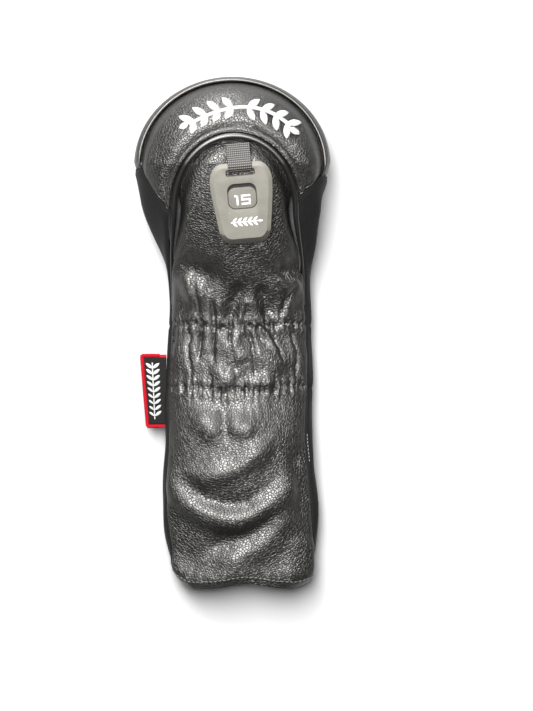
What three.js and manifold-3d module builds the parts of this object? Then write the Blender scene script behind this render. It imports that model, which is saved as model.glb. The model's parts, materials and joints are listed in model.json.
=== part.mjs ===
// A sewn head cover for a golf wood, lying on its back. Millimetres: +X to the right, +Y from the
// mouth to the crown, +Z up out of the front. The cover is a padded head on a gathered sleeve. A
// number tag hangs on a webbing loop from the front, and a woven label is sewn into the left seam.
import * as THREE from 'three';
import { mergeVertices } from 'three/addons/utils/BufferGeometryUtils.js';
import Module from 'manifold-3d';

const wasm = await Module();
wasm.setup();

// ---- Driving sizes ----

// Along the cover
const coverLength = 340;
const crownRise = 59; // from the head's middle to the crown's end
const flareAt = 40; // from the mouth to where the sleeve is widest

// Along the cover, down from the head's middle
const leftCrownEndDrop = 2; // the crown's end seams, at the rim
const rightCrownEndDrop = 7;
const rightCrownInnerDrop = 20; // the right end seam, at the arch
const shoulderDrop = 30; // the front arch springs here
const neckDrop = 73;
const upperGatherDrop = 106;
const lowerGatherDrop = 148;
const archRise = 49; // the arch's height over the shoulder

// Across the cover
const mouthWidth = 86;
const flareWidth = 103;
const sleeveWidth = 98;
const neckWidth = 94.5;
const shoulderWidth = 115;
const headWidth = 129;
const archWidth = 85;
const mouthStrip = 5.5; // how far each side panel reaches in over the front, seen from above
const flareStrip = 6.5;
const leftNeckStrip = 1.6;
const rightNeckStrip = 5.2;
const sleeveShift = 4.3; // the sleeve lies off the head's middle line
const mouthShift = 6.6; // and its mouth a little further
const archShift = 2;

// Up from the table
const mouthHeight = 27;
const flareHeight = 36;
const sleeveHeight = 41;
const gatherHeight = 36;
const neckHeight = 46;
const shoulderHeight = 67;
const headHeight = 76;
const restSag = 3; // how far the table pushes the round body flat

// Layers, from the outside in
const shellThickness = 1.8;
const foamThickness = 3.6;
const elasticThickness = 1.2;
const liningThickness = 2;
const layerGap = 0.9; // between two layers of cloth
const clearance = 0.3; // between hard pieces
const tongueRecess = 6; // the front panel lies this far under the crown, inside the arch

// Seams and trim
const seamGap = 0.9;
const rimLatitude = THREE.MathUtils.degToRad(18); // the rim seam, above the cover's widest line
const backSeamDrop = THREE.MathUtils.degToRad(22); // the back seams, below it
const pipingRadius = 2.1;
const pipingDepth = 3.2; // the arch piping's centre, under the crown's surface
const seamAllowance = 3;
const hemWidth = 14;
const elasticWidth = 9;
const embroideryThickness = 0.6;

// Strap and tag
const strapWidth = 15;
const webbingThickness = 1.2;
const strapLength = 14; // from the sewn root to the tag's bar
const strapPitch = THREE.MathUtils.degToRad(15);
const tagPitch = THREE.MathUtils.degToRad(17);
const tagLean = THREE.MathUtils.degToRad(5);
const tagLength = 55;
const tagWidth = 41;
const tagFootWidth = 31;
const tagThickness = 4;
const tagBevel = 2.6;
const barWidth = 4;
const slotHeight = 4.6;
const slotClearance = 2; // beside the webbing, in the tag's slot
const barClearance = 0.25; // between the bar's corners and the webbing round it
const windowWidth = 19.2;
const windowHeight = 17.4;
const windowDrop = 11.6; // from the bar's middle to the window's top
const windowRadius = 5;
const pocketFloor = 1; // under the parting line of the tag's two shells
const insertThickness = 2;
const insertClearance = 0.35;
const pryGap = 3; // over the insert, for a fingernail

// Side label
const labelHeight = 50;
const labelTopWidth = 16.4;
const labelFootWidth = 12.4;
const labelBorder = 2.3;
const labelBackingThickness = 0.6;
const labelFaceThickness = 0.4;
const labelStandOff = 1.3; // from the seam to the line that the label bends on
const labelDrop = 1.5; // the label's middle, below the lower gathers

// ---- The body's surface ----

const headCentre = coverLength - crownRise;
const shoulderAt = headCentre - shoulderDrop;
const neckAt = headCentre - neckDrop;
const upperGatherAt = headCentre - upperGatherDrop;
const lowerGatherAt = headCentre - lowerGatherDrop;
const sleeveAt = (flareAt + 2 * lowerGatherAt) / 3; // the flare has died away
const leftCrownEndAt = headCentre - leftCrownEndDrop;
const rightCrownEndAt = headCentre - rightCrownEndDrop;
const rightCrownInnerAt = headCentre - rightCrownInnerDrop;

// A smooth curve through [position, value] pairs.
function through(pairs) {
  const positions = new Float32Array(pairs.map((pair) => pair[0]));
  const values = new Float32Array(pairs.map((pair) => pair[1]));
  const curve = new THREE.CubicInterpolant(positions, values, 1, new Float32Array(1));
  return (at) => curve.evaluate(THREE.MathUtils.clamp(at, positions[0], positions.at(-1)))[0];
}

const width = through([[0, mouthWidth], [flareAt, flareWidth], [sleeveAt, sleeveWidth],
  [lowerGatherAt, sleeveWidth], [upperGatherAt, neckWidth], [neckAt, neckWidth],
  [shoulderAt, shoulderWidth], [headCentre, headWidth]]);
const height = through([[0, mouthHeight], [flareAt, flareHeight], [sleeveAt, sleeveHeight],
  [lowerGatherAt, gatherHeight], [upperGatherAt, gatherHeight], [neckAt, neckHeight],
  [shoulderAt, shoulderHeight], [headCentre, headHeight]]);
const shift = through([[0, mouthShift], [sleeveAt, sleeveShift], [neckAt, sleeveShift], [shoulderAt, 0],
  [headCentre, 0]]);

// A point of the body. run goes from the mouth to the crown's end, angle from the right side over the
// front to the left, and inset is the depth under the surface. Past the head's middle the body is an
// ellipsoid, and the table flattens what would lie lower than it.
function bodyPoint(run, angle, inset) {
  const lift = (Math.max(0, run - headCentre) / crownRise) * (Math.PI / 2);
  const at = Math.min(run, headCentre);
  const direction = new THREE.Vector3(Math.cos(angle) * Math.cos(lift), Math.sin(lift),
    Math.sin(angle) * Math.cos(lift));
  return alongDirection(at, direction, inset);
}

function alongDirection(at, direction, inset) {
  const middle = (height(at) - restSag) / 2;
  const halfHeight = (height(at) + restSag) / 2 - inset;
  return new THREE.Vector3(
    shift(at) + (width(at) / 2 - inset) * direction.x,
    at + (crownRise - inset) * direction.y,
    Math.max(middle + halfHeight * direction.z, inset),
  );
}

// run and angle of the surface's front over a point of the plan.
function onFront(x, y) {
  const lift = Math.asin(THREE.MathUtils.clamp((y - headCentre) / crownRise, 0, 1));
  const at = Math.min(y, headCentre);
  const share = (x - shift(at)) / ((width(at) / 2) * Math.cos(lift));
  return {
    run: at + (lift / (Math.PI / 2)) * crownRise,
    angle: Math.acos(THREE.MathUtils.clamp(share, -1, 1)),
  };
}

// The angle that a length along the section, at that run and angle, takes up.
function angleOf(length, run, angle) {
  const halfWidth = width(run) / 2;
  const halfHeight = (height(run) + restSag) / 2;
  return length / Math.hypot(halfWidth * Math.sin(angle), halfHeight * Math.cos(angle));
}

// ---- Outlines of the panels ----

const pipingEndAt = neckAt + 3;
const ramp = (run, from, to) => THREE.MathUtils.smoothstep(run, from, to);
const recessShare = (run) => ramp(run, pipingEndAt + 8, shoulderAt - 3);

// How far the left or right side panel reaches in over the front, below the arch.
function strip(neckStrip, archSide) {
  const shoulderStrip = (shoulderWidth - archWidth) / 2 + archSide * (shift(shoulderAt) - archShift);
  return through([[0, mouthStrip], [flareAt, flareStrip], [sleeveAt, neckStrip + 2],
    [upperGatherAt, neckStrip], [neckAt, neckStrip], [shoulderAt, shoulderStrip]]);
}
const leftStrip = strip(leftNeckStrip, -1);
const rightStrip = strip(rightNeckStrip, 1);

// The angle of the line where the front panel meets its neighbours, moved outward by a length.
// side is 1 on the right and -1 on the left. rise lengthens the arch.
function edgeAngle(run, side, outward, rise = 0) {
  let x = shift(run) + side * (width(run) / 2 - (side > 0 ? rightStrip(run) : leftStrip(run)));
  let y = run;
  if (run > shoulderAt) {
    const lift = (Math.max(0, run - headCentre) / crownRise) * (Math.PI / 2);
    y = Math.min(run, headCentre) + crownRise * Math.sin(lift);
    const up = THREE.MathUtils.clamp((y - shoulderAt) / (archRise + rise), 0, 1);
    x = archShift + side * (archWidth / 2) * Math.sqrt(1 - up * up);
  }
  const angle = onFront(x, y).angle;
  return angle - side * angleOf(outward, Math.min(run, headCentre), angle);
}

// The arch in plan, from its left end at share 0 to its right end at share 1.
function archPlan(share, outward) {
  const rightEnd = Math.asin((rightCrownInnerAt - shoulderAt) / archRise);
  const turn = THREE.MathUtils.lerp(Math.PI, rightEnd, share);
  return new THREE.Vector2(archShift + (archWidth / 2 + outward) * Math.cos(turn),
    shoulderAt + (archRise + outward) * Math.sin(turn));
}

// The rim in plan, at a latitude above the body's widest line.
function rimPlan(share, latitude) {
  const reach = crownRise * Math.cos(latitude);
  const leftEnd = Math.PI + Math.asin((headCentre - leftCrownEndAt) / reach);
  const rightEnd = -Math.asin((headCentre - rightCrownEndAt) / reach);
  const turn = THREE.MathUtils.lerp(leftEnd, rightEnd, share);
  const y = headCentre + reach * Math.sin(turn);
  const half = (width(Math.min(y, headCentre)) / 2) * Math.cos(latitude);
  const x = y > headCentre ? half * Math.cos(turn) : half * Math.sign(Math.cos(turn));
  return new THREE.Vector2(shift(Math.min(y, headCentre)) + x, y);
}

// ---- Solids ----

// The geometry with its shared corners welded and its faces turned outward.
function closed(geometry) {
  geometry.deleteAttribute('normal');
  geometry.deleteAttribute('uv');
  const welded = mergeVertices(geometry, 1e-3);
  const position = welded.getAttribute('position');
  const corners = [...welded.index.array];
  const faces = [];
  let volume = 0;
  const [a, b, c] = [new THREE.Vector3(), new THREE.Vector3(), new THREE.Vector3()];
  for (let i = 0; i < corners.length; i += 3) {
    const [p, q, r] = corners.slice(i, i + 3);
    if (p === q || q === r || r === p) continue;
    faces.push([p, q, r]);
    a.fromBufferAttribute(position, p);
    b.fromBufferAttribute(position, q);
    c.fromBufferAttribute(position, r);
    volume += a.dot(b.cross(c));
  }
  const outward = volume > 0 ? faces : faces.map(([p, q, r]) => [p, r, q]);
  return welded.setIndex(outward.flat());
}

// A sheet bent onto the body: place gives run and angle at (across, along), each 0 to 1, and outer
// and inner give the depth of its two faces there.
function sheet(columns, rows, place, outer, inner) {
  const geometry = new THREE.BoxGeometry(1, 1, 1, columns, rows, 1);
  const position = geometry.getAttribute('position');
  for (let i = 0; i < position.count; i++) {
    const at = place(position.getX(i) + 0.5, position.getY(i) + 0.5);
    const depth = position.getZ(i) > 0 ? outer(at.run ?? 0) : inner(at.run ?? 0);
    const point = at.direction ? alongDirection(headCentre, at.direction, depth)
      : bodyPoint(at.run, at.angle, depth);
    position.setXYZ(i, point.x, point.y, point.z);
  }
  return closed(geometry);
}

// A ring or cup round the whole body: the profile is a list of { run, inset } points.
function wrap(profile, turns) {
  const placeholder = profile.map((point, i) => new THREE.Vector2(1, i));
  const geometry = new THREE.LatheGeometry(placeholder, turns);
  const position = geometry.getAttribute('position');
  const uv = geometry.getAttribute('uv');
  for (let i = 0; i < position.count; i++) {
    const { run, inset } = profile[Math.round(uv.getY(i) * (profile.length - 1))];
    const point = bodyPoint(run, uv.getX(i) * 2 * Math.PI, inset);
    position.setXYZ(i, point.x, point.y, point.z);
  }
  return closed(geometry);
}

// A round cord along points of the body.
function piping(points, steps) {
  const section = new THREE.Shape().absarc(0, 0, pipingRadius, 0, 2 * Math.PI);
  const path = new THREE.CatmullRomCurve3(points);
  return closed(new THREE.ExtrudeGeometry(section, { extrudePath: path, steps, curveSegments: 4 }));
}

const constant = (value) => () => value;

// The rows of a sheet that is this long, so that neighbours bend alike.
const rowLength = 12.6;
const rowsFor = (length) => Math.ceil(length / rowLength);

function solid(geometry) {
  const welded = closed(geometry);
  return new wasm.Manifold(new wasm.Mesh({
    numProp: 3,
    vertProperties: new Float32Array(welded.getAttribute('position').array),
    triVerts: new Uint32Array(welded.index.array),
  }));
}

function geometryOf(manifold) {
  const mesh = manifold.getMesh();
  return new THREE.BufferGeometry()
    .setAttribute('position', new THREE.BufferAttribute(new Float32Array(mesh.vertProperties), 3))
    .setIndex(new THREE.BufferAttribute(new Uint32Array(mesh.triVerts), 1));
}

// ---- Materials ----

const finish = (color, roughness) => new THREE.MeshStandardMaterial({ color, roughness, metalness: 0 });
const leatherette = finish(0x1b1b1a, 0.42);
const knit = finish(0x202020, 0.85);
const foam = finish(0x8c8a84, 0.95);
const plush = finish(0x2a2a2c, 1);
const elastic = finish(0x151515, 0.8);
const whiteThread = finish(0xf0efec, 0.6);
const webbing = finish(0x4a4744, 0.8);
const tagPlastic = finish(0x5a5854, 0.6);
const insertPlastic = finish(0x55534f, 0.6);
const redWeave = finish(0xd41e33, 0.7);
const blackWeave = finish(0x242322, 0.8);

const cover = new THREE.Group();

function add(parent, name, geometry, material) {
  const mesh = new THREE.Mesh(geometry, material);
  mesh.name = name;
  parent.add(mesh);
  return mesh;
}

// ---- Shell panels ----

const edgeRoom = pipingRadius + seamGap; // from a piping's centre to the panels beside it
const rimStep = edgeRoom / ((headHeight + restSag) / 2); // the same, as latitude

// How far a panel's edge stays from the seam line beside the front panel.
function sideRoom(run) {
  const opened = ramp(run, pipingEndAt - 2 * rowLength, pipingEndAt - rowLength);
  return THREE.MathUtils.lerp(seamGap / 2, edgeRoom, opened);
}

function crownPlace(inset) {
  return (across, along) => {
    const inner = archPlan(across, edgeRoom + inset);
    const outer = rimPlan(across, rimLatitude + rimStep + inset / (headHeight / 2));
    const plan = inner.lerp(outer, Math.sin((along * Math.PI) / 2));
    return onFront(plan.x, plan.y);
  };
}

add(cover, 'crown_panel',
  sheet(22, 4, crownPlace(0), constant(0), constant(shellThickness)), leatherette);

const foamDepth = shellThickness + layerGap;
add(cover, 'crown_foam',
  sheet(22, 4, crownPlace(1.5), constant(foamDepth), constant(foamDepth + foamThickness)), foam);

const tongueDepth = (run) => tongueRecess * recessShare(run);
const archTop = shoulderAt + archRise;

function frontPlace(across, along) {
  const top = onFront(archShift, archTop + seamAllowance).run;
  const run = top * Math.sin((along * Math.PI) / 2) ** 0.8;
  const tucked = ramp(run, shoulderAt - 1, rightCrownInnerAt);
  const under = THREE.MathUtils.lerp(-sideRoom(run), seamAllowance, tucked);
  const right = edgeAngle(run, 1, under, seamAllowance);
  const left = edgeAngle(run, -1, under, seamAllowance);
  return { run, angle: THREE.MathUtils.lerp(right, left, across) };
}

add(cover, 'front_panel', sheet(10, rowsFor(coverLength), frontPlace, tongueDepth,
  (run) => tongueDepth(run) + shellThickness), leatherette);

// The seam that closes the head at the back runs from one end of the crown to the other. The angle
// falls from the right side, 0, to the left side, -180 degrees.
function backSeamAt(angle) {
  const share = (-angle - backSeamDrop) / (Math.PI - 2 * backSeamDrop);
  return THREE.MathUtils.lerp(rightCrownEndAt, leftCrownEndAt, THREE.MathUtils.clamp(share, 0, 1));
}

// side is 1 on the right and -1 on the left.
function sidePlace(side) {
  const back = side > 0 ? -backSeamDrop : Math.PI + backSeamDrop;
  const end = (side + 1) / 2;
  const inner = archPlan(end, edgeRoom);
  const outer = rimPlan(end, rimLatitude + rimStep);
  const angleAt = (run, across) => {
    const front = edgeAngle(run, side, sideRoom(run));
    const seam = back + side * angleOf(seamGap / 2, run, back);
    return THREE.MathUtils.lerp(front, seam, across);
  };
  const topAt = (across) => {
    let run = inner.y;
    for (let turn = 0; turn < 12; turn++) {
      const angle = angleAt(run, across);
      const x = bodyPoint(run, angle, 0).x;
      const pastRim = Math.sin(angle) < Math.sin(rimLatitude + rimStep);
      const share = pastRim ? 1 : THREE.MathUtils.clamp((x - inner.x) / (outer.x - inner.x), 0, 1);
      const seam = THREE.MathUtils.lerp(inner.y, outer.y, share) - 2 * seamGap;
      run = THREE.MathUtils.lerp(run, seam, 0.6);
    }
    return run;
  };
  return (across, along) => {
    const run = topAt(across) * along;
    return { run, angle: angleAt(run, across) };
  };
}

for (const [name, side] of [['right_side_panel', 1], ['left_side_panel', -1]]) {
  add(cover, name, sheet(5, rowsFor(headCentre), sidePlace(side), constant(0),
    constant(shellThickness)), knit);
}

function backSleevePlace(across, along) {
  const seam = THREE.MathUtils.lerp(-backSeamDrop, backSeamDrop - Math.PI, across);
  const run = (backSeamAt(seam) - seamGap) * along;
  const right = -backSeamDrop - angleOf(seamGap / 2, run, backSeamDrop);
  return { run, angle: THREE.MathUtils.lerp(right, -Math.PI - right, across) };
}

add(cover, 'back_sleeve_panel', sheet(10, rowsFor(headCentre), backSleevePlace, constant(0),
  constant(shellThickness)), leatherette);

// The back of the head runs from the back seam, over the crown's end, up to the rim piping.
function backHeadPlace(inset) {
  const latitude = rimLatitude - rimStep - inset / (headHeight / 2);
  const joinAt = 0.1;
  return (across, along) => {
    const angle = THREE.MathUtils.lerp(latitude, -Math.PI - latitude, across);
    if (along <= joinAt) {
      const start = backSeamAt(angle) + seamGap + inset;
      return { run: THREE.MathUtils.lerp(start, headCentre, along / joinAt), angle };
    }
    const low = new THREE.Vector3(Math.cos(angle), 0, Math.sin(angle));
    const turn = Math.PI * across;
    const high = new THREE.Vector3(Math.cos(latitude) * Math.cos(turn),
      Math.cos(latitude) * Math.sin(turn), Math.sin(latitude));
    const arc = low.angleTo(high);
    if (arc < 1e-6) return { direction: low };
    const share = (along - joinAt) / (1 - joinAt);
    const direction = low.multiplyScalar(Math.sin((1 - share) * arc))
      .addScaledVector(high, Math.sin(share * arc)).divideScalar(Math.sin(arc));
    return { direction };
  };
}

add(cover, 'back_head_panel', sheet(18, 10, backHeadPlace(0), constant(0), constant(shellThickness)),
  leatherette);
add(cover, 'back_foam',
  sheet(18, 10, backHeadPlace(1.5), constant(foamDepth), constant(foamDepth + foamThickness)), foam);

// ---- Piping ----

function rimPiping() {
  const points = [];
  const count = 24;
  for (let i = 0; i <= count; i++) {
    const plan = rimPlan(i / count, rimLatitude);
    const { run, angle } = onFront(plan.x, plan.y);
    points.push(bodyPoint(run, angle, seamGap));
  }
  return piping(points, 40);
}

add(cover, 'crown_piping', rimPiping(), leatherette);

function archPiping() {
  const depthAt = (run) => THREE.MathUtils.lerp(0.9, pipingDepth, recessShare(run));
  const side = (which) => {
    const points = [];
    for (let run = pipingEndAt; run < shoulderAt - 2; run += 7) {
      points.push(bodyPoint(run, edgeAngle(run, which, 0), depthAt(run)));
    }
    return points;
  };
  const arch = [];
  const count = 20;
  for (let i = 0; i <= count; i++) {
    const turn = Math.PI * (1 - i / count);
    const x = archShift + (archWidth / 2) * Math.cos(turn);
    const y = shoulderAt + archRise * Math.sin(turn);
    const { run, angle } = onFront(x, y);
    arch.push(bodyPoint(run, angle, pipingDepth));
  }
  return piping([...side(-1), ...arch, ...side(1).reverse()], 56);
}

add(cover, 'arch_piping', archPiping(), leatherette);

// ---- Inside the shell ----

const elasticDepth = shellThickness + layerGap;
const sleeveLiningDepth = elasticDepth + elasticThickness + layerGap;
const headLiningDepth = Math.max(tongueRecess + shellThickness, foamDepth + foamThickness) + layerGap;
const liningDepth = (run) => THREE.MathUtils.lerp(sleeveLiningDepth, headLiningDepth, recessShare(run));

function band(from, to, outer, inner) {
  return wrap([{ run: from, inset: outer }, { run: to, inset: outer }, { run: to, inset: inner },
    { run: from, inset: inner }, { run: from, inset: outer }], 26);
}

for (const [name, at] of [['upper_elastic', upperGatherAt], ['lower_elastic', lowerGatherAt]]) {
  add(cover, name, band(at - elasticWidth / 2, at + elasticWidth / 2, elasticDepth,
    elasticDepth + elasticThickness), elastic);
}
add(cover, 'hem_facing', band(1, 1 + hemWidth, elasticDepth, elasticDepth + elasticThickness), leatherette);

function liningProfile() {
  const runs = [];
  const straightSteps = Math.ceil(rowsFor(headCentre) / 2);
  const capSteps = 5;
  for (let i = 0; i <= straightSteps; i++) {
    runs.push(THREE.MathUtils.lerp(2, headCentre, i / straightSteps));
  }
  for (let i = 1; i <= capSteps; i++) runs.push(headCentre + (crownRise * i) / capSteps);
  const outside = runs.map((run) => ({ run, inset: liningDepth(run) }));
  const inside = runs.map((run) => ({ run, inset: liningDepth(run) + liningThickness })).reverse();
  return [...outside, ...inside, outside[0]];
}

add(cover, 'lining', wrap(liningProfile(), 26), plush);

// ---- Embroidery on the crown ----

function embroideryPlace(across, along) {
  const share = THREE.MathUtils.lerp(0.24, 0.78, across);
  const inner = archPlan(share, edgeRoom);
  const outer = rimPlan(share, rimLatitude + rimStep);
  const plan = inner.lerp(outer, THREE.MathUtils.lerp(0.34, 0.74, along));
  return onFront(plan.x, plan.y);
}

add(cover, 'crown_embroidery', sheet(16, 2, embroideryPlace, constant(-layerGap - embroideryThickness),
  constant(-layerGap)), whiteThread);

// ---- Webbing loop ----

// A drop outline: a small round root at the origin and a large round end further down.
function drop(rootAt, rootRadius, endAt, endRadius) {
  const lean = Math.asin((endRadius - rootRadius) / (rootAt - endAt));
  const outline = new THREE.Path();
  outline.absarc(rootAt, 0, rootRadius, -Math.PI / 2 + lean, Math.PI / 2 - lean);
  outline.absarc(endAt, 0, endRadius, Math.PI / 2 - lean, (3 * Math.PI) / 2 + lean);
  outline.closePath();
  return outline;
}

const barReach = Math.hypot(barWidth, tagThickness) / 2;
const loopInner = barReach + barClearance;
const loopOuter = loopInner + webbingThickness;
const rootRadius = webbingThickness + 0.4;

function strapLoop() {
  const outline = new THREE.Shape(drop(0, rootRadius, -strapLength, loopOuter).getPoints(12));
  const hollow = drop(-3, 0.4, -strapLength, loopInner);
  outline.holes.push(new THREE.Path(hollow.getPoints(12).reverse()));
  const geometry = new THREE.ExtrudeGeometry(outline, { depth: strapWidth, bevelEnabled: false });
  geometry.translate(0, 0, -strapWidth / 2);
  const x = new THREE.Vector3(1, 0, 0);
  const y = new THREE.Vector3(0, 1, 0);
  const z = new THREE.Vector3(0, 0, 1);
  return closed(geometry.applyMatrix4(new THREE.Matrix4().makeBasis(y, z, x)));
}

// The root is sewn in just below the arch piping, over the front panel.
const rootAtX = sleeveShift;
const rootAtY = archTop - pipingRadius - rootRadius - 2.2;
const rootPlace = onFront(rootAtX, rootAtY);
const rootSurface = bodyPoint(rootPlace.run, rootPlace.angle, tongueRecess);
const strap = new THREE.Group();
strap.position.set(rootSurface.x, rootSurface.y, rootSurface.z + clearance + rootRadius);
strap.rotation.set(-strapPitch, 0, tagLean, 'ZXY');
cover.add(strap);
add(strap, 'strap_loop', strapLoop(), webbing);

// ---- Number tag ----

const tag = new THREE.Group();
tag.position.set(0, -strapLength, 0);
tag.rotation.x = strapPitch + tagPitch;
strap.add(tag);

function roundedBox(halfWidth, low, high, radius) {
  const outline = new THREE.Shape();
  outline.absarc(halfWidth - radius, high - radius, radius, 0, Math.PI / 2);
  outline.absarc(-halfWidth + radius, high - radius, radius, Math.PI / 2, Math.PI);
  outline.absarc(-halfWidth + radius, low + radius, radius, Math.PI, 1.5 * Math.PI);
  outline.absarc(halfWidth - radius, low + radius, radius, 1.5 * Math.PI, 2 * Math.PI);
  return outline;
}

function prism(outline, low, high, curveSegments = 6) {
  const geometry = new THREE.ExtrudeGeometry(outline, {
    depth: high - low, bevelEnabled: false, curveSegments,
  });
  return solid(geometry.translate(0, 0, low));
}

function tagOutline() {
  const top = barWidth / 2;
  const foot = top - tagLength;
  const shoulder = top - 13; // the tag is widest here
  const half = tagWidth / 2;
  const footHalf = tagFootWidth / 2;
  const outline = new THREE.Shape();
  outline.moveTo(-half + 9, top);
  outline.lineTo(half - 9, top);
  outline.bezierCurveTo(half - 3, top, half, shoulder + 6, half, shoulder);
  outline.quadraticCurveTo(half, shoulder - 9, footHalf + 1.2, foot + 8);
  outline.quadraticCurveTo(footHalf - 0.8, foot, footHalf - 7, foot);
  outline.lineTo(-footHalf + 7, foot);
  outline.quadraticCurveTo(-footHalf + 0.8, foot, -footHalf - 1.2, foot + 8);
  outline.quadraticCurveTo(-half, shoulder - 9, -half, shoulder);
  outline.bezierCurveTo(-half, shoulder + 6, -half + 3, top, -half + 9, top);
  return outline;
}

function tagShells() {
  const bevelThickness = tagThickness / 2 - 0.5;
  const geometry = new THREE.ExtrudeGeometry(tagOutline(), {
    depth: tagThickness - 2 * bevelThickness, bevelEnabled: true, bevelThickness,
    bevelSize: tagBevel, bevelOffset: -tagBevel, bevelSegments: 3, curveSegments: 8,
  });
  geometry.translate(0, 0, -tagThickness / 2 + bevelThickness);
  const slotHalf = strapWidth / 2 + slotClearance;
  const slot = roundedBox(slotHalf, -barWidth / 2 - slotHeight, -barWidth / 2, 1.2);
  const opening = roundedBox(windowWidth / 2, -windowDrop - windowHeight, -windowDrop, windowRadius);
  const reach = tagThickness;
  const whole = solid(geometry).subtract(prism(slot, -reach, reach));
  const sides = roundedBox(tagWidth, -2 * tagLength, tagLength, 1);
  const front = whole.intersect(prism(sides, clearance / 2, reach))
    .subtract(prism(opening, -reach, reach));
  const back = whole.intersect(prism(sides, -reach, -clearance / 2))
    .subtract(prism(opening, -pocketFloor, reach));
  return { front: geometryOf(front), back: geometryOf(back) };
}

const shells = tagShells();
add(tag, 'tag_front_shell', shells.front, tagPlastic);
add(tag, 'tag_back_shell', shells.back, tagPlastic);

function numberInsert() {
  const high = -windowDrop - pryGap;
  const low = -windowDrop - windowHeight + insertClearance;
  const outline = roundedBox(windowWidth / 2 - insertClearance, low, high, windowRadius - insertClearance);
  const bevelThickness = 0.3;
  const geometry = new THREE.ExtrudeGeometry(outline, {
    depth: insertThickness - 2 * bevelThickness, bevelEnabled: true, bevelThickness,
    bevelSize: 0.3, bevelOffset: -0.3, bevelSegments: 1, curveSegments: 5,
  });
  return closed(geometry.translate(0, 0, -pocketFloor + clearance + bevelThickness));
}

add(tag, 'number_insert', numberInsert(), insertPlastic);

// ---- Side label ----

const labelAt = lowerGatherAt - labelDrop;

// The label's outline, drawn in by a border on its three free edges.
function labelOutline(border) {
  const outline = new THREE.Shape();
  const half = labelHeight / 2 - border;
  outline.moveTo(0, -half);
  outline.lineTo(0, half);
  outline.lineTo(-labelTopWidth + border, half);
  outline.lineTo(-labelFootWidth + border, -half);
  return outline;
}

function labelLayer(border, low, thickness) {
  const outline = labelOutline(border);
  const geometry = new THREE.ExtrudeGeometry(outline, { depth: thickness, bevelEnabled: false });
  return closed(geometry.translate(0, 0, low));
}

const label = new THREE.Group();
const seamPoints = [-0.5, -0.25, 0, 0.25, 0.5].map((end) => (
  bodyPoint(labelAt + end * labelHeight, Math.PI, 0)));
const seamX = Math.min(...seamPoints.map((point) => point.x));
label.position.set(seamX - labelStandOff, labelAt, seamPoints[2].z);
cover.add(label);
const faceLow = labelBackingThickness / 2 + clearance;
add(label, 'label_backing', labelLayer(0, -labelBackingThickness / 2, labelBackingThickness), redWeave);
add(label, 'label_front_face', labelLayer(labelBorder, faceLow, labelFaceThickness), blackWeave);
add(label, 'label_back_face',
  labelLayer(labelBorder, -faceLow - labelFaceThickness, labelFaceThickness), blackWeave);

// The origin is on the table, under the middle of the cover.
cover.updateMatrixWorld(true);
const extent = new THREE.Box3().setFromObject(cover, true);
const middle = extent.getCenter(new THREE.Vector3());
cover.position.set(-middle.x, -middle.y, -extent.min.z);

export default cover;
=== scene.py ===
import json
import math

import bpy
import numpy as np
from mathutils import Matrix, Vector


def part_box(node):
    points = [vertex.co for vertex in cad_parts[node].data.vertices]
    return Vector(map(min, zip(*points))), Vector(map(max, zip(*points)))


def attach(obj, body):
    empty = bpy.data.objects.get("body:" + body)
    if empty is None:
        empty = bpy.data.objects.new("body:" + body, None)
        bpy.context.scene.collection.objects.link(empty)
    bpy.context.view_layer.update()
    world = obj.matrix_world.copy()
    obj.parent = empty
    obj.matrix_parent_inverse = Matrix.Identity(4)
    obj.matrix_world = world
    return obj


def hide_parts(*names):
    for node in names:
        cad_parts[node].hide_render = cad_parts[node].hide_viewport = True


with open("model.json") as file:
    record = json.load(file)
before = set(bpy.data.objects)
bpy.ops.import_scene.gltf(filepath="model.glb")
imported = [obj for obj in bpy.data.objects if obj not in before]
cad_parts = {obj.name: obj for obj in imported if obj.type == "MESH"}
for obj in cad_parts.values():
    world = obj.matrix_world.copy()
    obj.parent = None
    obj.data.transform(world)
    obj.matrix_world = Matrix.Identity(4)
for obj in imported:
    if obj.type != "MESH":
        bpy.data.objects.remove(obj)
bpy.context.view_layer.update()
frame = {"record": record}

# ---- Plush lining ----
# A short-pile sock that lies against the club. It is cut in one with the head and sewn to the
# hem facing at the mouth. The shape of the whole cover is set here, because it is the first layer.

MM = 0.001
MOUTH_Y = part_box("back_sleeve_panel")[0].y
LENGTH = 340.0
CROWN_RISE = 59.0
HEAD_AT = LENGTH - CROWN_RISE
SHOULDER_AT = HEAD_AT - 30
NECK_AT = HEAD_AT - 73
UPPER_GATHER_AT = HEAD_AT - 106
LOWER_GATHER_AT = HEAD_AT - 148
FLARE_AT = 40.0
SLEEVE_AT = (FLARE_AT + 2 * LOWER_GATHER_AT) / 3
TABLE_SAG = 3.0


def along(pairs):
    """A smooth curve through (place, value) pairs, level past its ends."""
    places, values = np.array(pairs, float).T

    def at(place):
        place = np.clip(place, places[0], places[-1])
        i = np.clip(np.searchsorted(places, place, side="right") - 1, 0, len(places) - 2)
        start, end = places[i], places[i + 1]
        share = (place - start) / (end - start)
        first, last = i == 0, i == len(places) - 2
        before = np.where(first, values[i + 1], values[i - 1])
        after_at = np.minimum(i + 2, len(places) - 1)
        after = np.where(last, values[i], values[after_at])
        half = 0.5 * (end - start)
        back = np.where(first, -0.5, half / np.where(first, 1, start - places[i - 1]))
        ahead = np.where(last, -0.5, half / np.where(last, 1, places[after_at] - end))
        square, cube = share**2, share**3
        return (
            (-back * cube + 2 * back * square - back * share) * before
            + ((1 + back) * cube + (-1.5 - 2 * back) * square + (back - 0.5) * share + 1)
            * values[i]
            + ((-1 - ahead) * cube + (1.5 + ahead) * square + 0.5 * share) * values[i + 1]
            + (ahead * cube - ahead * square) * after
        )

    return at


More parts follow.
